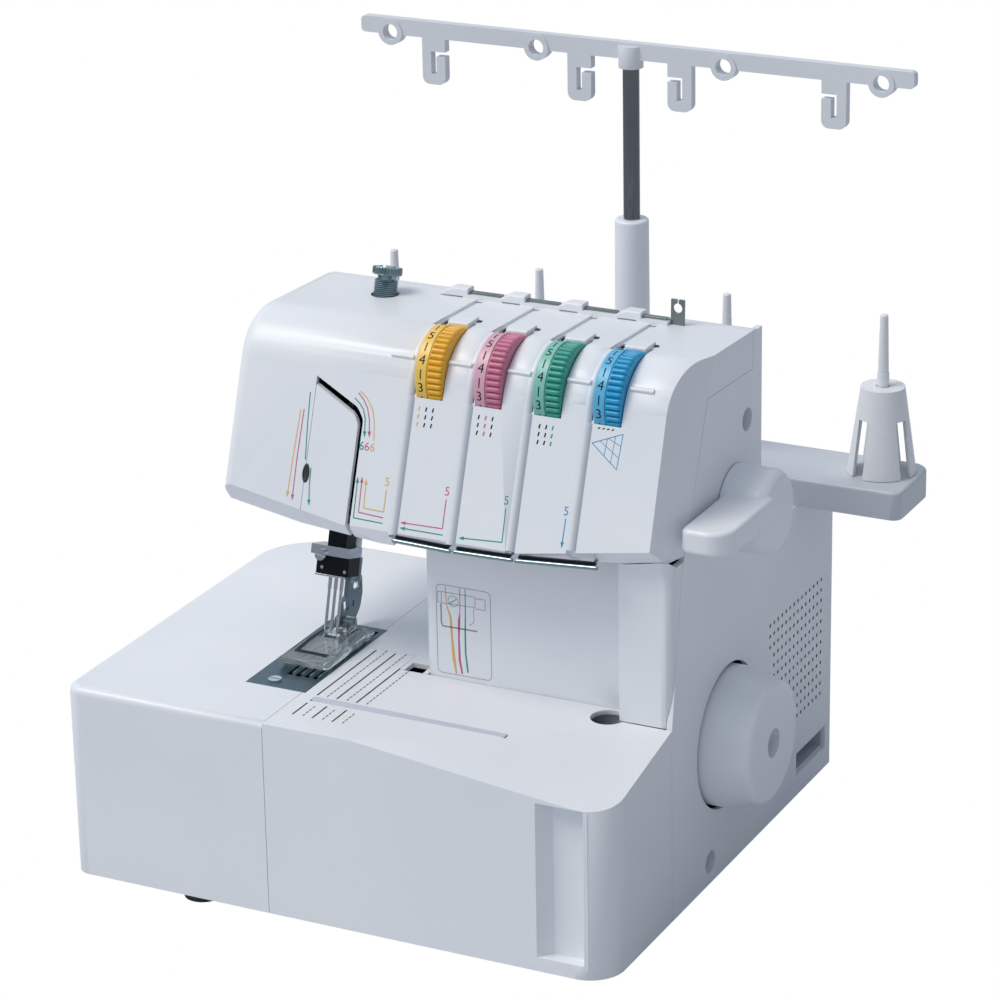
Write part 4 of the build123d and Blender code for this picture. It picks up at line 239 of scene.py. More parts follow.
def dial_plastic(name, code, band_code, edge_mm):
    """Dial ABS: band_code left of edge_mm along X and code right of it, with the mould's fine grain."""
    material, tree, out, where = new_material(name)
    apart = add(tree, "ShaderNodeSeparateXYZ", {0: where})
    left = add(tree, "ShaderNodeMath", {0: apart.outputs["X"], 1: edge_mm / 1000}, operation="LESS_THAN")
    tone = add(tree, "ShaderNodeMix", {0: left.outputs[0], 6: colour(code), 7: colour(band_code)},
               data_type="RGBA")
    grain = add(tree, "ShaderNodeTexNoise", {"Vector": where, "Scale": 1000.0 / 0.625, "Detail": 2.0})
    rub = add(tree, "ShaderNodeMapRange", {"Value": grain.outputs["Fac"], "To Min": 0.28, "To Max": 0.40})
    relief = add(tree, "ShaderNodeBump", {
        "Height": grain.outputs["Fac"], "Strength": 0.08, "Distance": 0.0002})
    shade = add(tree, "ShaderNodeBsdfPrincipled", {
        "Base Color": tone.outputs[2], "Roughness": rub.outputs[0], "Normal": relief.outputs[0]})
    tree.links.new(shade.outputs[0], out.inputs[0])
    return material


def ink(name, code):
    """Pad-printed ink: thin patches about 1 mm wide where the ground shows through, and an uneven sheen."""
    material, tree, out, where = new_material(name)
    cover = add(tree, "ShaderNodeTexNoise", {"Vector": where, "Scale": 900.0, "Detail": 3.0})
    thin = tuple(c * 0.85 + 0.10 for c in colour(code)[:3]) + (1.0,)
    ramp = add(tree, "ShaderNodeMapRange", {
        "Value": cover.outputs["Fac"], "From Min": 0.55, "From Max": 0.85})
    tone = add(tree, "ShaderNodeMix", {0: ramp.outputs[0], 6: colour(code), 7: thin}, data_type="RGBA")
    rub = add(tree, "ShaderNodeMapRange", {"Value": cover.outputs["Fac"], "To Min": 0.40, "To Max": 0.60})
    shade = add(tree, "ShaderNodeBsdfPrincipled", {
        "Base Color": tone.outputs[2], "Roughness": rub.outputs[0], "IOR": 1.25})
    tree.links.new(shade.outputs[0], out.inputs[0])
    return material


def stroke(path, step=0.6):
    """Flat band along a path of (u, v, width) in mm: points every `step`, offset square to the path."""
    path = np.array(path, float)
    runs = np.linalg.norm(np.diff(path[:, :2], axis=0), axis=1)
    at = np.concatenate([[0], np.cumsum(runs)])
    steps = [np.linspace(at[i], at[i + 1], max(2, int(runs[i] / step) + 1))[:-1] for i in range(len(runs))]
    where = np.concatenate(steps + [at[-1:]])
    u, v, width = [np.interp(where, at, path[:, k]) for k in range(3)]
    side = np.stack([-np.gradient(v), np.gradient(u)], axis=1)
    side /= np.linalg.norm(side, axis=1)[:, None]
    offset = side * width[:, None] / 2
    line = np.stack([u, v], axis=1)
    points = np.stack([line - offset, line + offset], axis=1)
    index = np.arange(2 * len(points)).reshape(-1, 2)
    faces = np.stack([index[:-1, 0], index[1:, 0], index[1:, 1], index[:-1, 1]], axis=-1)
    return points.reshape(-1, 2), faces


def figure(text, u, v, height):
    """Figures as a flat mesh centred on (u, v), in fine triangles that can follow a curved surface."""
    curve = bpy.data.curves.new("figure", "FONT")
    curve.body = text
    curve.size = height * 1.38
    curve.align_x = "CENTER"
    curve.align_y = "CENTER"
    holder = bpy.data.objects.new("figure", curve)
    mesh = bpy.data.meshes.new_from_object(holder)
    bpy.data.objects.remove(holder)
    shape = bmesh.new()
    shape.from_mesh(mesh)
    bmesh.ops.triangulate(shape, faces=shape.faces[:])
    bmesh.ops.subdivide_edges(shape, edges=shape.edges[:], cuts=2, use_grid_fill=True)
    shape.to_mesh(mesh)
    shape.free()
    points = np.empty(3 * len(mesh.vertices))
    mesh.vertices.foreach_get("co", points)
    mesh.calc_loop_triangles()
    faces = np.empty(3 * len(mesh.loop_triangles), int)
    mesh.loop_triangles.foreach_get("vertices", faces)
    return points.reshape(-1, 3)[:, :2] + (u, v), faces.reshape(-1, 3)


def printed(name, marks, place, material, body):
    """One printed piece: flat marks joined and laid on a surface by place(u, v)."""
    points, faces, count = [], [], 0
    for spots, corners in marks:
        points.append(spots)
        faces += (np.array(corners) + count).tolist()
        count += len(spots)
    flat = np.concatenate(points)
    mesh = bpy.data.meshes.new(name)
    mesh.from_pydata((place(flat[:, 0], flat[:, 1]) / 1000).tolist(), [], faces)
    return piece(name, mesh, material, body)


def box_mm(node):
    """A node's lowest and highest corner in mm."""
    return [np.array(corner) * 1000 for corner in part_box(node)]


# Black ink: near black, half matt.
black_ink = ink("black_ink", "#17191C")
INK_RISE = 0.05         # ink stands this far proud of what it is printed on
DIAL_BORE = 3.2         # radius of the dial's bore
DIAL_BAND = 6.3         # the plain band's width
DIAL_RIBS = 44
RIB_DEPTH = 1.5
NUMBER_AT = 3.2         # middle of the numbers, from the dial's left side
NUMBER_TALL = 5.0
DIALS = [
    ("dial_yellow", "tension_a", "#E8B02C", "#F2C85C"), ("dial_pink", "tension_b", "#C77390", "#DBA6B8"),
    ("dial_green", "tension_c", "#2F9A88", "#7DBFB0"), ("dial_blue", "tension_d", "#1E9BCB", "#58B2DA"),
]
for name, body, code, band_code in DIALS:
    low, high = box_mm(name)
    axis_y, axis_z, radius = (low[1] + high[1]) / 2, (low[2] + high[2]) / 2, (high[2] - low[2]) / 2

    def on_dial(u, v):
        """u mm to the right of the dial's left side, v mm of arc up from its foremost line."""
        angle = v / radius
        return np.stack([low[0] + u, axis_y - (radius + INK_RISE) * np.cos(angle),
                         axis_z + (radius + INK_RISE) * np.sin(angle)], axis=-1)

    # The rim's radius over the turn t and the width x: radius - inward(x) - RIB_DEPTH (1 - |sin 22 t|)^1.5,
    # where inward gives the sides, their rounding and the step beside the band.
    wide = high[0] - low[0]
    across = np.concatenate([[0, 0, 0, 0.2, 0.7], np.linspace(1.4, 5.7, 4), [6.0, 6.1, 6.5, 6.6, 6.9, 7.5],
                             np.linspace(8.2, wide - 1.8, 5), wide - np.array([1.2, 0.7, 0.3, 0.05, 0, 0])])
    inward = np.concatenate([[radius - DIAL_BORE, 4, 0.8, 0.25, 0], np.zeros(4),
                             [0, 0.55, 0.55, 0.2, 0.05, 0], np.zeros(5),
                             [0.05, 0.25, 0.6, 1.1, 4, radius - DIAL_BORE]])
    groove = np.interp(across, [6.5, 7.4, wide - 0.1, wide], [0, 1, 1, 0.9]) * (inward < 3)
    turn = np.linspace(0, 2 * np.pi, DIAL_RIBS * 12, endpoint=False)
    furrow = (1 - np.abs(np.sin(DIAL_RIBS / 2 * turn))) ** 1.5
    reach = radius - inward - RIB_DEPTH * furrow[:, None] * groove
    rim = np.stack([np.broadcast_to(low[0] + across, reach.shape), axis_y - reach * np.cos(turn)[:, None],
                    axis_z + reach * np.sin(turn)[:, None]], axis=-1)
    # Coloured ABS: strong even colour with a soft gloss on every rib, and a paler band.
    dial_abs = dial_plastic("abs_" + name, code, band_code, low[0] + DIAL_BAND)
    wheel = piece(name + "_wheel", surface(rim, closed=True, loop=True), dial_abs, body)
    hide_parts(name)
    marks = []
    for number in range(10):
        arc = math.radians(36 * (number - 3) - 7) * radius
        marks.append(figure(str(number), NUMBER_AT, arc, NUMBER_TALL))
        marks.append(stroke([(NUMBER_AT, arc + 4.6, 0.6), (NUMBER_AT, arc + 9.4, 0.6)]))
    printed(name + "_numbers", marks, on_dial, black_ink, body)

# ---------------------------------------------------------------- thread path on the head
# Coloured lines, arrows and figures that show each thread's way to its needle, and a small block of dashes
# beside every dial's panel. They are pad printed on the front cover in the threads' colours.
HEAD_UNDER = 194.0      # Z of the head's underside
FACE_FOOT = -80.0       # Y of the leaning front at that height
FACE_LEAN = math.radians(19.3)


def on_face(u, v):
    """u mm along X and v mm high, on the head's leaning front, just proud of it."""
    y = FACE_FOOT + (v - HEAD_UNDER) * math.tan(FACE_LEAN)
    return np.stack([u, y - INK_RISE * math.cos(FACE_LEAN), v + INK_RISE * math.sin(FACE_LEAN)], axis=-1)


def arrow(path, size=1.9, line=0.55):
    """A line whose last point is the tip of an arrow head `size` mm wide and one and a half times as long."""
    path = np.array(path, float)
    run = path[-1] - path[-2]
    run /= np.linalg.norm(run)
    neck = path[-1] - 1.5 * size * run
    shaft = [(x, z, line) for x, z in [*path[:-1], neck + 0.2 * run]]
    return [stroke(shaft), stroke([(*neck, size), (*path[-1], 0.04)])]


def line(path, width=0.55):
    """A plain line."""
    return [stroke([(x, z, width) for x, z in path])]


def dashes(x, z, columns):
    """Three dashes under each other per column, leaning with the figures."""
    marks = []
    for left in columns:
        for row in range(3):
            middle = z - 3.6 * row
            ends = [(x + left - 0.2, middle - 1.0, 0.75), (x + left + 0.2, middle + 1.0, 0.75)]
            marks.append(stroke(ends))
    return marks


# Thread inks: the threads' own colours, thinner and paler than the dials.
FIGURE_TALL = 4.2
inks = {
    "yellow": (ink("yellow_ink", "#E3B873"), "dial_yellow"),
    "pink": (ink("pink_ink", "#C9678F"), "dial_pink"),
    "green": (ink("green_ink", "#2E9C86"), "dial_green"),
    "blue": (ink("blue_ink", "#2F9CCB"), "dial_blue"),
    "black": (black_ink, "socket_black"),
}
marks = {
    "green": [
        *line([(-75.9, 254.4), (-75.2, 240), (-73.9, 223)]),
        *arrow([(-70.2, 219.5), (-69.8, 211), (-68.7, 201.9)]),
        *arrow([(-51.0, 254.8), (-47.9, 252.6), (-45.6, 250.2), (-43.9, 246), (-43.1, 237.3)]),
        figure("6", -43.9, 233.2, FIGURE_TALL),
        *arrow([(-27.2, 199.4), (-43.4, 199.8), (-43.8, 219)]),
        *arrow([(6, 198.6), (-17.6, 198.7)]),
        figure("5", 37.4, 218.8, FIGURE_TALL),
        *arrow([(37.6, 215.3), (37.9, 199.8), (14.6, 198.6)]),
        *dashes(56.6, 254.6, (0,)),
    ],
    "pink": [
        *arrow([(-78.1, 246.1), (-78.6, 225), (-78.4, 203.1)]),
        *arrow([(-49.4, 257.4), (-46.0, 254.5), (-43.4, 251), (-41.6, 246), (-40.4, 237.6)]),
        figure("6", -41.0, 233.2, FIGURE_TALL),
        *arrow([(-27.2, 202), (-41.0, 202.7), (-41.4, 219.3)]),
        figure("5", 5.4, 218.6, FIGURE_TALL),
        *arrow([(5.4, 215.1), (5.4, 201.5), (-17.6, 201.2)]),
        *dashes(20.7, 254.6, (0,)),
    ],
    "yellow": [
        *arrow([(-79.9, 245.9), (-80.8, 225), (-81.4, 204.1)]),
        *line([(-48.4, 258.2), (-44.4, 255.6), (-40.6, 251), (-38.7, 245), (-37.7, 236.5)]),
        figure("6", -38.0, 233.2, FIGURE_TALL),
        *arrow([(-27.4, 215), (-27.4, 204.7), (-38.6, 205), (-39.0, 218.7)]),
        figure("5", -27.4, 218.5, FIGURE_TALL),
        *dashes(-15.4, 254.4, (0,)),
    ],
    "blue": [
        figure("5", 69.4, 218.3, FIGURE_TALL),
        *arrow([(69.6, 215.2), (69.4, 201.5)]),
        *line([(78, 250.7), (93.4, 256.6), (92.4, 240.4), (78, 250.7)], 0.4),
        *line([(82, 252.2), (92.8, 245.6)], 0.3),
        *line([(86, 253.8), (93.1, 251)], 0.3),
        *line([(85, 245.7), (85.7, 253.7)], 0.3),
        *line([(88.8, 243), (89.7, 255.2)], 0.3),
    ],
    "black": [
        *dashes(-15.4, 254.4, (3.8, 7.5)), *dashes(17.0, 254.6, (0, 7.4)), *dashes(49.6, 254.6, (0, 3.5)),
        *[stroke([(80 + 2.4 * k, 257.6, 0.6), (81.2 + 2.4 * k, 258, 0.6)]) for k in range(4)],
    ],
}
for name, (material, slot) in inks.items():
    printed("thread_path_" + name, marks[name], on_face, material, "machine")

# ---------------------------------------------------------------- thread grommet
# The oval eye in the needle panel: a grommet of black rubber that sits in its hole, drawn closed.
# The oval shrinks by `shrink` and stands `proud` of the panel, from its back round the lip to its middle.
# Black rubber: dark, nearly matt, with a soft sheen on the rim.
rubber = moulded("black_rubber", "#2A2E31", "#202427", 0.55, 0.5, 0.2)
EYE_AT = (-72.6, 216.8)
EYE_HALF = (1.9, 4.5)
angle = np.linspace(0, 2 * np.pi, 40, endpoint=False)
shrink = np.array([0.0, 1.0, 1.0, 0.92, 0.78, 0.55, 0.0])
proud = np.array([-0.4, -0.4, 0.15, 0.5, 0.6, 0.3, 0.1])
eye = on_face(EYE_AT[0] + np.outer(np.cos(angle), EYE_HALF[0] * shrink),
              EYE_AT[1] + np.outer(np.sin(angle), EYE_HALF[1] * shrink))
eye[:, :, 1] -= proud * math.cos(FACE_LEAN)
eye[:, :, 2] += proud * math.sin(FACE_LEAN)
piece("thread_grommet", surface(eye[:, ::-1], closed=True), rubber, "machine")

# ---------------------------------------------------------------- guides on the head's top
# Behind each dial a short ABS tongue closes the window; the small gap beside it is drawn as a dark rubber
# bar, as painted shade. The rear thread guides are strips of spring steel that snap under a moulded hump.
def metal(name, code, roughness, stretch, scratch_mm=0.5, depth=0.05):
    """Metal: fine lines drawn out along one axis, in roughness and bump, under a slow change of tone."""
    material, tree, out, where = new_material(name)
    drawn = add(tree, "ShaderNodeMapping", {"Vector": where, "Scale": stretch})
    lines = add(tree, "ShaderNodeTexNoise", {
        "Vector": drawn.outputs[0], "Scale": 1000.0 / scratch_mm, "Detail": 4.0})
    slow = add(tree, "ShaderNodeTexNoise", {"Vector": where, "Scale": 60.0, "Detail": 2.0})
    darker = tuple(0.82 * c for c in colour(code)[:3]) + (1.0,)
    tone = add(tree, "ShaderNodeMix", {0: slow.outputs["Fac"], 6: colour(code), 7: darker}, data_type="RGBA")
    rub = add(tree, "ShaderNodeMapRange", {
        "Value": lines.outputs["Fac"], "To Min": roughness * 0.7, "To Max": roughness * 1.4})
    relief = add(tree, "ShaderNodeBump", {
        "Height": lines.outputs["Fac"], "Strength": depth, "Distance": 0.0001})
    shade = add(tree, "ShaderNodeBsdfPrincipled", {
        "Base Color": tone.outputs[2], "Metallic": 1.0, "Roughness": rub.outputs[0],
        "Normal": relief.outputs[0]})
    tree.links.new(shade.outputs[0], out.inputs[0])
    return material


def rounded_square(corner):
    """48 points of the superellipse (cos t)^corner, (sin t)^corner: a circle at 1, nearly a square at 0.2."""
    turn = np.linspace(0, 2 * np.pi, 48, endpoint=False)
    u = np.sign(np.cos(turn)) * np.abs(np.cos(turn)) ** corner
    v = np.sign(np.sin(turn)) * np.abs(np.sin(turn)) ** corner
    return u[:, None], v[:, None]


def bar(x, y, z, corner, crown=0.0):
    """Grid of a rounded bar: x, y and z are (low, high) pairs in mm, and the top swells by crown.

    Each cross section along x is a superellipse scaled to y and z. The ends draw in to a pole.
    """
    u, v = rounded_square(corner)
    along = np.array([0, 0, 0.01, 0.035, 0.08, 0.5, 0.92, 0.965, 0.99, 1, 1])
    draw = np.array([0.0, 0.86, 0.95, 0.985, 1, 1, 1, 0.985, 0.95, 0.86, 0.0])
    grid = np.zeros((48, 11, 3))
    grid[:, :, 0] = x[0] + (x[1] - x[0]) * along
    grid[:, :, 1] = np.mean(y) + (y[1] - y[0]) / 2 * u * draw
    grid[:, :, 2] = np.mean(z) + (z[1] - z[0]) / 2 * v * draw + crown * np.maximum(v, 0) * draw
    return grid[:, ::-1]


TOP_Z = 288.0           # height of the head's top at TOP_FRONT
TOP_FRONT = -47.1
TOP_FALL = 3.5 / 137    # the top falls this much per mm towards the rear
HUMP_SUNK = 0.5


def hump(x, y, height):
    """Moulded ramp and box on the head's top: x holds the ramp's foot, its crest and the box's end, in mm.

    Every cross section along x is a rounded rectangle from just under the top up to z = height * ramp(x).
    """
    u, v = rounded_square(0.3)
    along = np.array([x[0], x[0], x[0] + 1, x[1] - 1, x[1], x[1] + 1, x[2] - 0.6, x[2] - 0.1, x[2], x[2]])
    rise = height * np.array([0.08, 0.1, 0.2, 0.86, 0.97, 1, 1, 0.97, 0.9, 0.9])
    draw = np.array([0, 1, 1, 1, 1, 1, 1, 1, 0.97, 0])
    low = TOP_Z - (np.mean(y) - TOP_FRONT) * TOP_FALL - HUMP_SUNK
    grid = np.zeros((48, 10, 3))
    grid[:, :, 0] = along
    grid[:, :, 1] = np.mean(y) + (y[1] - y[0]) / 2 * u * draw
    grid[:, :, 2] = low + (rise + HUMP_SUNK) * (0.5 + 0.5 * v * draw)
    return grid[:, ::-1]


# Spring steel: grey, rolled along its length, with a soft long highlight.
spring_steel = metal("spring_steel", "#8A9290", 0.24, (0.05, 1, 1))
dress(spring_steel, "top_thread_guides", "tension_discs")
soften(0.15, "top_thread_guides")
TONGUE_Y = (-25.2, -12.6)
TONGUE_Z = (285.6, 288.6)
GAP_SHADE_Y = (-15.8, -13.4)
GAP_SHADE_Z = (286.4, 287.32)
HUMP_Y = (20.2, 27.8)
HUMP_TALL = 4.0
for name, *_ in DIALS:
    low, high = box_mm(name)
    tongue = bar((low[0] + 1.6, high[0] - 1.2), TONGUE_Y, TONGUE_Z, 0.3, 0.3)
    piece("tongue_" + name, surface(tongue, closed=True), white_abs, "machine")
    # Dark rubber bar in the gap beside the tongue: painted shade for the gap's shadow.
    painted_gap_shade = bar((high[0] - 1.1, high[0] + 0.7), GAP_SHADE_Y, GAP_SHADE_Z, 0.3)
    piece("painted_gap_shade_" + name, surface(painted_gap_shade, closed=True), rubber, "machine")
    foot = low[0] - 26.0
    holder = hump((foot, foot + 7, foot + 15.6), HUMP_Y, HUMP_TALL)
    piece("hump_" + name, surface(holder, closed=True), white_abs, "machine")

# ---------------------------------------------------------------- thread channels and pegs
# Left of each dial's panel the thread runs in a channel of the ABS cover, whose side falls softly away.
# White ABS pegs lie across the head where the front turns into the top.
ROUND_Y = -26.09        # axis of the curve between front and top
ROUND_Z = 257.16
ROUND_RADIUS = 30.0
FACE_TOP = 267.08       # the leaning front ends here and the curve begins
CHANNEL_WIDE = 5.0
CHANNEL_DEEP = 1.35
CHANNEL_PITCH = 31.8
SLOT_FROM = 258.2       # above this height the window's slot leaves a narrower channel
SLOT_WIDE = 3.7


def channel_ramp(left):
    """Soft left side of a thread channel, swept up the front and over its curve.

    Across the channel the skin falls by CHANNEL_DEEP * f^2.6 over the share f of the width; its foot is flat.
    """
    bevel = max(0.0, 1 + (left + CHANNEL_WIDE - 41) * 11 / 74)
    up = np.concatenate([np.linspace(HEAD_UNDER + 0.8 + bevel, SLOT_FROM, 24),
                         np.linspace(259.6, FACE_TOP, 6)])
    bend = np.radians(np.linspace(22, 88, 26))
    normal = np.concatenate([np.full(30, FACE_LEAN), bend])
    y = np.concatenate([FACE_FOOT + (up - HEAD_UNDER) * math.tan(FACE_LEAN),
                        ROUND_Y - ROUND_RADIUS * np.cos(bend)])
    z = np.concatenate([up, ROUND_Z + ROUND_RADIUS * np.sin(bend)])
    share = np.linspace(0, 1, 10)
    below = [CHANNEL_DEEP + 0.25] * 2
    sink = np.concatenate([0.06 + CHANNEL_DEEP * share ** 2.6, below])
    span = np.where(z <= SLOT_FROM, CHANNEL_WIDE, SLOT_WIDE)
    x = left + span[:, None] * np.concatenate([share, [1.0, 0.0]])
    grid = np.stack([x, y[:, None] + sink * np.cos(normal)[:, None],
                     z[:, None] - sink * np.sin(normal)[:, None]], axis=-1)
    ends = [np.broadcast_to(grid[k].mean(axis=0), (1, 12, 3)) for k in (0, -1)]
    return surface(np.concatenate([ends[0], grid, ends[1]]), loop=True)


# Channel ABS: the covers' white, darkening towards the channel's deep side; the grey is painted shade for the
# shadow in a deep channel.
channel_abs_painted_shade, tree, out, where = new_material("channel_abs_painted_shade")
apart = add(tree, "ShaderNodeSeparateXYZ", {0: where})
shift = add(tree, "ShaderNodeMath", {0: apart.outputs["X"], 1: (23.8 + CHANNEL_PITCH) / 1000},
            operation="ADD")
share = add(tree, "ShaderNodeMath", {0: shift.outputs[0], 1: CHANNEL_PITCH / 1000}, operation="MODULO")
# Painted shade: 0 at each channel's left edge, rising to 1 towards its deep side.
fall = add(tree, "ShaderNodeMapRange", {"Value": share.outputs[0], "From Min": 0.0004, "From Max": 0.0052},
           interpolation_type="SMOOTHSTEP")
grain = add(tree, "ShaderNodeTexNoise", {"Vector": where, "Scale": 1000.0 / 0.625, "Detail": 2.0})
rub = add(tree, "ShaderNodeMapRange", {"Value": grain.outputs["Fac"], "To Min": 0.30, "To Max": 0.42})
tone = add(tree, "ShaderNodeMix", {0: fall.outputs[0], 6: colour("#ECEEF2"), 7: colour("#A9B1BC")},
           data_type="RGBA")
shade = add(tree, "ShaderNodeBsdfPrincipled", {"Base Color": tone.outputs[2], "Roughness": rub.outputs[0]})
tree.links.new(shade.outputs[0], out.inputs[0])
for name, *_ in DIALS:
    piece("channel_" + name, channel_ramp(box_mm(name)[0][0] - 5.4), channel_abs_painted_shade, "machine")

PEG_RADIUS = 1.1
PEG_LONG = 12.3
PEG_Z = 276.5           # height of the pegs on the curve
peg_bend = math.asin((PEG_Z - ROUND_Z) / ROUND_RADIUS)
peg_y = ROUND_Y - (ROUND_RADIUS + 0.3) * math.cos(peg_bend)
peg_z = ROUND_Z + (ROUND_RADIUS + 0.3) * math.sin(peg_bend)
for number, x in enumerate([-34.8, -3.3, 28.5, 60.3, 93.4]):
    peg = bar((x, x + PEG_LONG), (peg_y - PEG_RADIUS, peg_y + PEG_RADIUS),
              (peg_z - PEG_RADIUS, peg_z + PEG_RADIUS), 1.0)
    piece("peg_%d" % (number + 1), surface(peg, closed=True), white_abs, "machine")

# ---------------------------------------------------------------- pressure screw
# Turned steel screw with nickel plate, which sets the presser foot's spring: a threaded shaft, a neck and a
# ribbed head, leaning with the presser bar. The thread wire on the head has the same plate.
# Nickel plate: grey with a warm shine, sharp reflections.
nickel = metal("nickel_plate", "#8FA1A6", 0.12, (0.05, 1, 1), 0.6)
dress(nickel, "head_wire", "pressure_screw")
BAR_LEAN = math.radians(16)
THREAD_PITCH = 1.0
THREAD_RADIUS = 5.9
HEAD_RIBS = 30
screw_mesh = nodes["pressure_screw"].data
spots = np.empty(3 * len(screw_mesh.vertices))
screw_mesh.vertices.foreach_get("co", spots)
spots = 1000 * spots.reshape(-1, 3)
lean = np.array([0, math.sin(BAR_LEAN), math.cos(BAR_LEAN)])
aside = np.array([1.0, 0, 0])
rearward = np.cross(lean, aside)
along = spots @ lean
knob = spots[along > along.max() - 1.0]
axis = aside * (knob[:, 0].min() + knob[:, 0].max()) / 2
axis = axis + rearward * ((knob @ rearward).min() + (knob @ rearward).max()) / 2
# A body of revolution: girth over height below the head's top, the threaded part waving by 0.28 mm.
threaded = np.linspace(-25, -10.5, 88)
height = np.concatenate([[-26, -26, -25.5], threaded, [-10.2, -10, -8.6, -8.4, -8.2],
                         [-8.2, -7.9, -7.5, -4.6, -4.2, -3.9, -3.9, -3.5, -3.5]])
thread = THREAD_RADIUS + 0.28 * np.cos(2 * np.pi * threaded / THREAD_PITCH)
girth = np.concatenate([[0, 5.2, 5.6], thread, [5.6, 4.7, 4.7, 4.7, 4.7],
                        [6.9, 7.4, 7.6, 7.6, 7.4, 6.9, 4.2, 4.0, 0]])
ridged = np.where((height > -7.8) & (height < -4.3) & (girth > 7), 0.42, 0.0)
turn = np.linspace(0, 2 * np.pi, HEAD_RIBS * 8, endpoint=False)[:, None]
outline = girth + ridged * (np.abs(np.sin(HEAD_RIBS / 2 * turn)) - 1)
shaft = (axis + (along.max() + height)[:, None] * lean + (outline * np.cos(turn))[..., None] * aside
         + (outline * np.sin(turn))[..., None] * rearward)
screw = piece("pressure_screw_turned", surface(shaft[:, ::-1], closed=True), nickel, "pressure_knob")
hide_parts("pressure_screw")

# ---------------------------------------------------------------- needle unit and needle plate
# Needle bar and needles slide up and down; the block that clamps the needles is blackened steel, with a
# bright bracket held by a slotted screw. The ankle, feed dogs and needle plate are ground steel.
# Chromed steel: bright and clean, drawn lines along the bar.
chrome = metal("chromed_steel", "#D3D7DB", 0.10, (1, 1, 0.05), 0.8)
dress(chrome, "needles", "needle_bar", "clamp_bracket", "clamp_screws", "presser_bar", "pressure_spring",
      "looper", "cover_screws")
# Black oxide: almost black, low satin shine.
black_oxide = metal("black_oxide", "#24272A", 0.34, (1, 1, 1), 0.4)
dress(black_oxide, "needle_clamp")
soften(0.25, "needle_clamp", "clamp_bracket")
# Satin steel: mid grey, fine cross lines from grinding.
satin_steel = metal("satin_steel", "#7F8F96", 0.30, (1, 0.05, 1), 0.5)
dress(satin_steel, "presser_ankle", "feed_dog_front", "feed_dog_rear")
soften(0.15, "presser_ankle")
# Plate steel: darker blue grey, brushed from front to rear.
plate_steel = metal("brushed_plate_steel", "#62757D", 0.34, (1, 0.03, 1), 0.35, 0.08)
dress(plate_steel, "needle_plate")
soften(0.3, "needle_plate")

# ---------------------------------------------------------------- take-up guard and lower guide strips
# Blackened steel: a guard behind the take-up slot that leans with the front, and three thin strips along the
# head's lower edge behind the guide rods.
GUARD_LOW = 203.0
guard = bar((-54.0, -42.6), (-68.6, -67.4), (GUARD_LOW, 262), 0.25)
guard[..., 1] += (guard[..., 2] - GUARD_LOW) * math.tan(FACE_LEAN)
piece("thread_guard", surface(guard, closed=True), black_oxide, "machine")
RODS = [(-20, -1.6, 10.4, -2.4), (13.4, -2.2, 43.8, -1.6), (46.8, -1.5, 89, 1.6)]
for number, (x0, above0, x1, above1) in enumerate(RODS):
    strip = bar((x0 + 0.6, x1 - 0.6), (-79.9, -78.2), (HEAD_UNDER + 0.9, HEAD_UNDER + 2.5), 0.3)
    strip[..., 2] += np.interp(strip[..., 0], [x0, x1], [above0, above1])
    piece("guide_strip_%d" % (number + 1), surface(strip, closed=True), black_oxide, "machine")

# ---------------------------------------------------------------- presser foot
# Foot of clear acrylic that tips on the ankle, with rounded edges.
# A black guide line is printed on its top.
# Clear acrylic: see-through with a cool cast, soft waves about 4 mm long in its polish, and bright edges.
acrylic, tree, out, where = new_material("clear_acrylic")
wave = add(tree, "ShaderNodeTexNoise", {"Vector": where, "Scale": 260.0, "Detail": 1.0})
relief = add(tree, "ShaderNodeBump", {"Height": wave.outputs["Fac"], "Strength": 0.05, "Distance": 0.0004})
rub = add(tree, "ShaderNodeMapRange", {"Value": wave.outputs["Fac"], "To Min": 0.03, "To Max": 0.14})
shade = add(tree, "ShaderNodeBsdfPrincipled", {
    "Base Color": colour("#DCE6EA"), "Roughness": rub.outputs[0], "Normal": relief.outputs[0],
    "Transmission Weight": 0.88, "IOR": 1.49})
tree.links.new(shade.outputs[0], out.inputs[0])
dress(acrylic, "presser_foot")
soften(0.35, "presser_foot")
foot_low, foot_high = box_mm("presser_foot")
TOE_RISE, MIDDLE_RISE, HEEL_RISE = 5.2, 4.2, 2.4


def on_foot(u, v):
    """u mm along X and v mm along Y, 0.3 mm over the foot's top, two planes that fall from toe to heel."""
    stations = [foot_low[1] + 0.6, foot_low[1] + 12, foot_high[1]]
    z = foot_low[2] + np.interp(v, stations, [TOE_RISE, MIDDLE_RISE, HEEL_RISE])
    return np.stack([u, v, z + 0.3], axis=-1)


printed("foot_guide_line", [
    stroke([(-88.75, -27, 1.9), (-88.5, -46, 2.1), (-86.6, -64.6, 2.3)]),
    stroke([(-87.7, -63.2, 3.2), (-68.6, -63.7, 3.2)]),
], on_foot, black_ink, "foot")

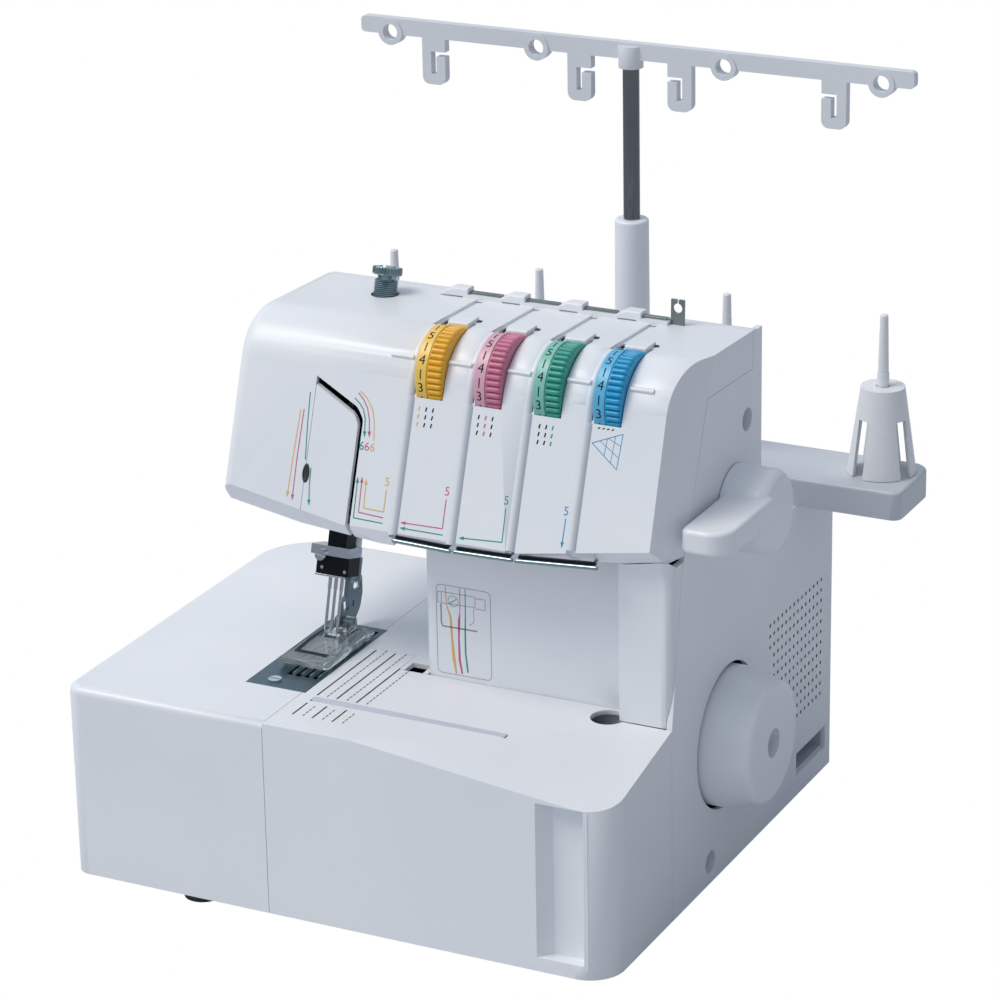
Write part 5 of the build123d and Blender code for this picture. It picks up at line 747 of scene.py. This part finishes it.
# ---------------------------------------------------------------- finger groove of the front door
# The door's top carries a long groove for the finger that folds it down. The solid's top is plain, so a low
# strip in the groove's shaded tone lies there, its skin rising by 0.6 mm to the rear.
# Shaded ABS: the covers' plastic as it looks in the groove's shade, more matt.
shaded_abs = moulded("shaded_abs", "#C6CAD6", "#C0C4D1", 0.5, 0.5, 0.08)
BED_TOP = 111.0
GROOVE_LEFT, GROOVE_LONG = -55.6, 107.0
GROOVE_FRONT, GROOVE_REAR = -106.0, -101.3
share = np.concatenate([[0, 0.004, 0.012, 0.024], np.linspace(0.05, 1, 14)])[:, None]
reach = np.concatenate([[0.0, 0.55, 0.85, 1.0], np.ones(14)])[:, None]
rear = GROOVE_REAR - 1.7 * share
section = np.array([-1.0, -1.0, -0.3, 0.4, 0.97, 1.0, 1.0])
rise = np.array([-0.25, 0.02, 0.22, 0.42, 0.6, 0.55, -0.25])
strip = np.stack(np.broadcast_arrays(
    GROOVE_LEFT + GROOVE_LONG * share,
    (rear + GROOVE_FRONT) / 2 + (rear - GROOVE_FRONT) / 2 * reach * section,
    BED_TOP + rise), axis=-1)
ends = [np.broadcast_to(strip[k].mean(axis=0), (1, 7, 3)) for k in (0, -1)]
groove = surface(np.concatenate([ends[0], strip, ends[1]])[:, ::-1], loop=True)
piece("door_groove", groove, shaded_abs, "front_door")


# ---------------------------------------------------------------- lines on the front door
# Six seam guide lines, pad printed in black on the door's top beside the needle plate, broken at the groove.
# The first, third and fifth are solid, and the others dashed and thinner.
def on_bed(u, v):
    """u mm along X and v mm along Y on the bed's top, just proud of it."""
    return np.stack([u, v, np.full_like(u, BED_TOP + INK_RISE)], axis=-1)


SEAM_FIRST, SEAM_PITCH = -55.6, 5.52
DASH, DASH_PITCH = 2.4, 3.4
marks = []
for number in range(6):
    x = SEAM_FIRST + SEAM_PITCH * number
    behind = -52.5 if number > 3 else -36.5
    width = 0.85
    spans = [(-98.8, behind), (-124.0, -108.8)]
    if number % 2:
        width = 0.55
        starts = np.concatenate([np.arange(-98.6, behind - 0.5, DASH_PITCH),
                                 np.arange(-123.6, -110, DASH_PITCH)])
        spans = [(y, y + DASH) for y in starts]
    marks += [stroke([(x, low, width), (x, high, width)], 3.0) for low, high in spans]
printed("seam_lines", marks, on_bed, black_ink, "front_door")

# ---------------------------------------------------------------- label on the column
# A generic threading diagram printed on the recessed wall: a rounded outline, the needle clamp in grey lines
# and three coloured threads of changing width.
WALL_Y = -53.0


def on_wall(u, v):
    """u mm along X and v mm high on the column's recessed wall, just proud of it."""
    return np.stack([u, np.full_like(u, WALL_Y - INK_RISE), v], axis=-1)


def rounded_box(x0, x1, z0, z1, radius, width):
    """Outline of a rounded rectangle: four quarter circles, joined in turn into one closed line."""
    turn = np.concatenate([np.linspace(0, np.pi / 2, 7) + k * np.pi / 2 for k in range(4)])
    x = np.repeat([x1 - radius, x0 + radius, x0 + radius, x1 - radius], 7) + radius * np.cos(turn)
    z = np.repeat([z1 - radius, z1 - radius, z0 + radius, z0 + radius], 7) + radius * np.sin(turn)
    spots = np.stack([x, z, np.full(28, width)], axis=1)
    return stroke(np.vstack([spots, spots[:1]]))


# Grey ink: mid grey, half matt.
grey_ink = ink("grey_ink", "#8D949B")
printed("label_outline", [rounded_box(-11.7, 18.3, 113.6, 161, 2.5, 0.3)], on_wall, grey_ink, "machine")
turn = np.linspace(0, 2 * np.pi, 25)
screw_head = np.stack([-2.4 + 2.8 * np.cos(turn), 153 + 2.8 * np.sin(turn), np.full(25, 0.3)], axis=1)
printed("label_clamp", [
    *line([(-11, 157), (-8.9, 157), (-8.9, 151.4), (-11, 151.4), (-11, 157)], 0.3),
    *line([(-8.9, 157.2), (9.8, 157.2), (9.8, 151.6), (-8.9, 151.2)], 0.3),
    *line([(9.8, 156.4), (15.4, 156.6), (15.4, 151), (9.8, 151)], 0.3),
    stroke(screw_head),
    *line([(-4.3, 151.6), (-0.5, 154.4)], 0.5),
    *line([(-9.2, 150.8), (-9.2, 140.6), (-8.4, 138.8), (10.8, 139)], 0.75),
    *line([(9, 151), (9, 143.6), (6.4, 141.4)], 0.3),
], on_wall, grey_ink, "machine")
threads = {
    "yellow": [(-6.6, 160.6, 0.5), (-6.2, 150.5, 0.5), (-4, 144.5, 1.2), (-3.5, 134, 1.2), (-2.6, 122, 1.7),
               (-1.4, 114.2, 0.9)],
    "pink": [(1.5, 160.6, 0.4), (1.3, 147.5, 0.4), (0.7, 143, 1.3), (0.4, 134, 0.9), (0.6, 122, 1.3),
             (1.9, 114.6, 0.9)],
    "green": [(4.4, 160.6, 0.4), (4.3, 146.5, 0.6), (4, 138, 0.8), (4, 126, 0.9), (5.1, 115.8, 0.9)],
}
for name, path in threads.items():
    material, slot = inks[name]
    printed("label_thread_" + name, [stroke(path)], on_wall, material, "machine")

# ---------------------------------------------------------------- vent shade
# Painted shade in the vent holes of the side cover: dark flat rounds just under the cover's outer face, one
# in every hole, stand in for the shadow inside the holes; the four nearest to the shaft have no hole and stay
# hidden.
# Painted shade for the vent holes: matt and dark, with a coarse bump.
vent_shade = moulded("black_vent_shade", "#17191B", "#101213", 0.85, 0.3, 0.3)
VENT_Y, VENT_PITCH_Y, VENT_COLUMNS = 56.5, 5.3, 14
VENT_TOP, VENT_PITCH_Z, VENT_ROWS = 119.0, 5.9, 12
VENT_RADIUS = 1.08
SHAFT_Y, SHAFT_Z = 2.0, 81.0
SHAFT_CLEAR = 57.0      # no round is nearer to the main shaft
SHADE_DEEP = 0.25
side_low, side_high = box_mm("side_cover")


def on_felt(u, v):
    """u mm along Y and v mm high, on the plane of the painted shade just under the side cover's outer face.
    """
    return np.stack([np.full_like(u, side_high[0] - SHADE_DEEP), u, v], axis=-1)


columns, rows = np.meshgrid(VENT_Y + VENT_PITCH_Y * np.arange(VENT_COLUMNS),
                            VENT_TOP - VENT_PITCH_Z * np.arange(VENT_ROWS))
holes = np.stack([columns.ravel(), rows.ravel()], axis=1)
holes = holes[np.hypot(holes[:, 0] - SHAFT_Y, holes[:, 1] - SHAFT_Z) > SHAFT_CLEAR]
angle = np.linspace(0, 2 * np.pi, 24, endpoint=False)
disc = VENT_RADIUS * np.stack([np.cos(angle), np.sin(angle)], axis=1)
# Painted shade: one dark round in every vent hole.
printed("vent_painted_shade", [(hole + disc, [list(range(24))]) for hole in holes], on_felt, vent_shade, "machine")

# ---------------------------------------------------------------- spool stand and thread tree
# The stand's tray, the mast's sleeve and the thread tree are ABS; spool pins and cone adapter are acetal.
# The mast is a ground steel rod that slides in the sleeve.
dress(white_abs, "mast_sleeve")
# Stand ABS and tree ABS: the same satin plastic, a little greyer; the grey is painted shade.
stand_abs_painted_shade = moulded("stand_abs_painted_shade", "#C6CBD2", "#C0C6CD", 0.36, 0.6, 0.10)
dress(stand_abs_painted_shade, "spool_stand")
tree_abs_painted_shade = moulded("tree_abs_painted_shade", "#DDE0E4", "#D7DADF", 0.36, 0.6, 0.10)
dress(tree_abs_painted_shade, "thread_tree")
soften(0.4, "spool_stand", "thread_tree")
# Acetal: whiter and waxier than the covers, a smoother shine.
acetal = moulded("white_acetal", "#E9E9EC", "#E1E2E6", 0.28, 0.8, 0.06)
dress(acetal, "spool_pins", "cone_adapter")
# Ground rod: dark mirror with a long narrow highlight.
ground_steel = metal("ground_rod_steel", "#6E7274", 0.16, (1, 1, 0.03))
dress(ground_steel, "mast_rod")

# ---------------------------------------------------------------- base, feet and electrics
# The base pan is glass-filled plastic, and the machine stands on rubber feet. The switch is phenolic, the
# inlet plain moulded plastic, and the supply a lacquered circuit board.
# Glass-filled plastic: dull grey with a rough grain.
base_plastic = moulded("glass_filled_base", "#73777B", "#686C70", 0.5, 0.5, 0.25)
dress(base_plastic, "base_pan", "stitch_dial")
# Grey rubber: dark and matt.
foot_rubber = moulded("grey_rubber", "#4A4D4F", "#3F4244", 0.65, 0.4, 0.3)
dress(foot_rubber, "rubber_feet", "drive_belt")
# Phenolic: black, half gloss.
phenolic = moulded("black_phenolic", "#1A1B1D", "#141516", 0.42, 0.4, 0.2)
dress(phenolic, "switch_housing", "switch_rocker", "drive_pulley")
# Inlet plastic: light grey, satin.
inlet_plastic = moulded("inlet_plastic", "#C6CAD0", "#BDC1C8", 0.40, 0.5, 0.1)
dress(inlet_plastic, "inlet_socket")
# Lacquered board: green under a glossy coat.
board = moulded("lacquered_board", "#1E5A36", "#174A2B", 0.25, 0.7, 0.1)
dress(board, "power_board")
# Frosted polycarbonate: warm white and softly shining.
lens = moulded("frosted_polycarbonate", "#F2F2EC", "#E8E8E0", 0.3, 0.4, 0.1)
dress(lens, "work_lamp")

# ---------------------------------------------------------------- works inside
# An aluminium casting, ground steel shafts in sintered bronze bushes, and the motor in its enamelled shell.
# Part of this shows when the front door is folded down.
# Cast aluminium: pale grey, coarse skin from the mould.
cast_aluminium = metal("cast_aluminium", "#A9ABAD", 0.5, (1, 1, 1), 1.2, 0.3)
dress(cast_aluminium, "frame_casting", "feed_bar")
# Shaft steel: grey, ground round and round.
shaft_steel = metal("shaft_steel", "#8F9295", 0.25, (0.05, 1, 1))
dress(shaft_steel, "main_shaft", "motor_shaft", "arm_shaft", "lifter_shaft", "looper_shaft", "cover_hinges",
      "tension_bracket")
# Sintered bronze: brown gold, slightly porous.
bronze = metal("sintered_bronze", "#A8804A", 0.4, (1, 1, 1), 0.6, 0.2)
dress(bronze, "shaft_bushes")
# Motor enamel: dark grey paint with a slight orange peel.
enamel = moulded("motor_enamel", "#55585B", "#4A4D50", 0.35, 1.5, 0.15)
dress(enamel, "motor")
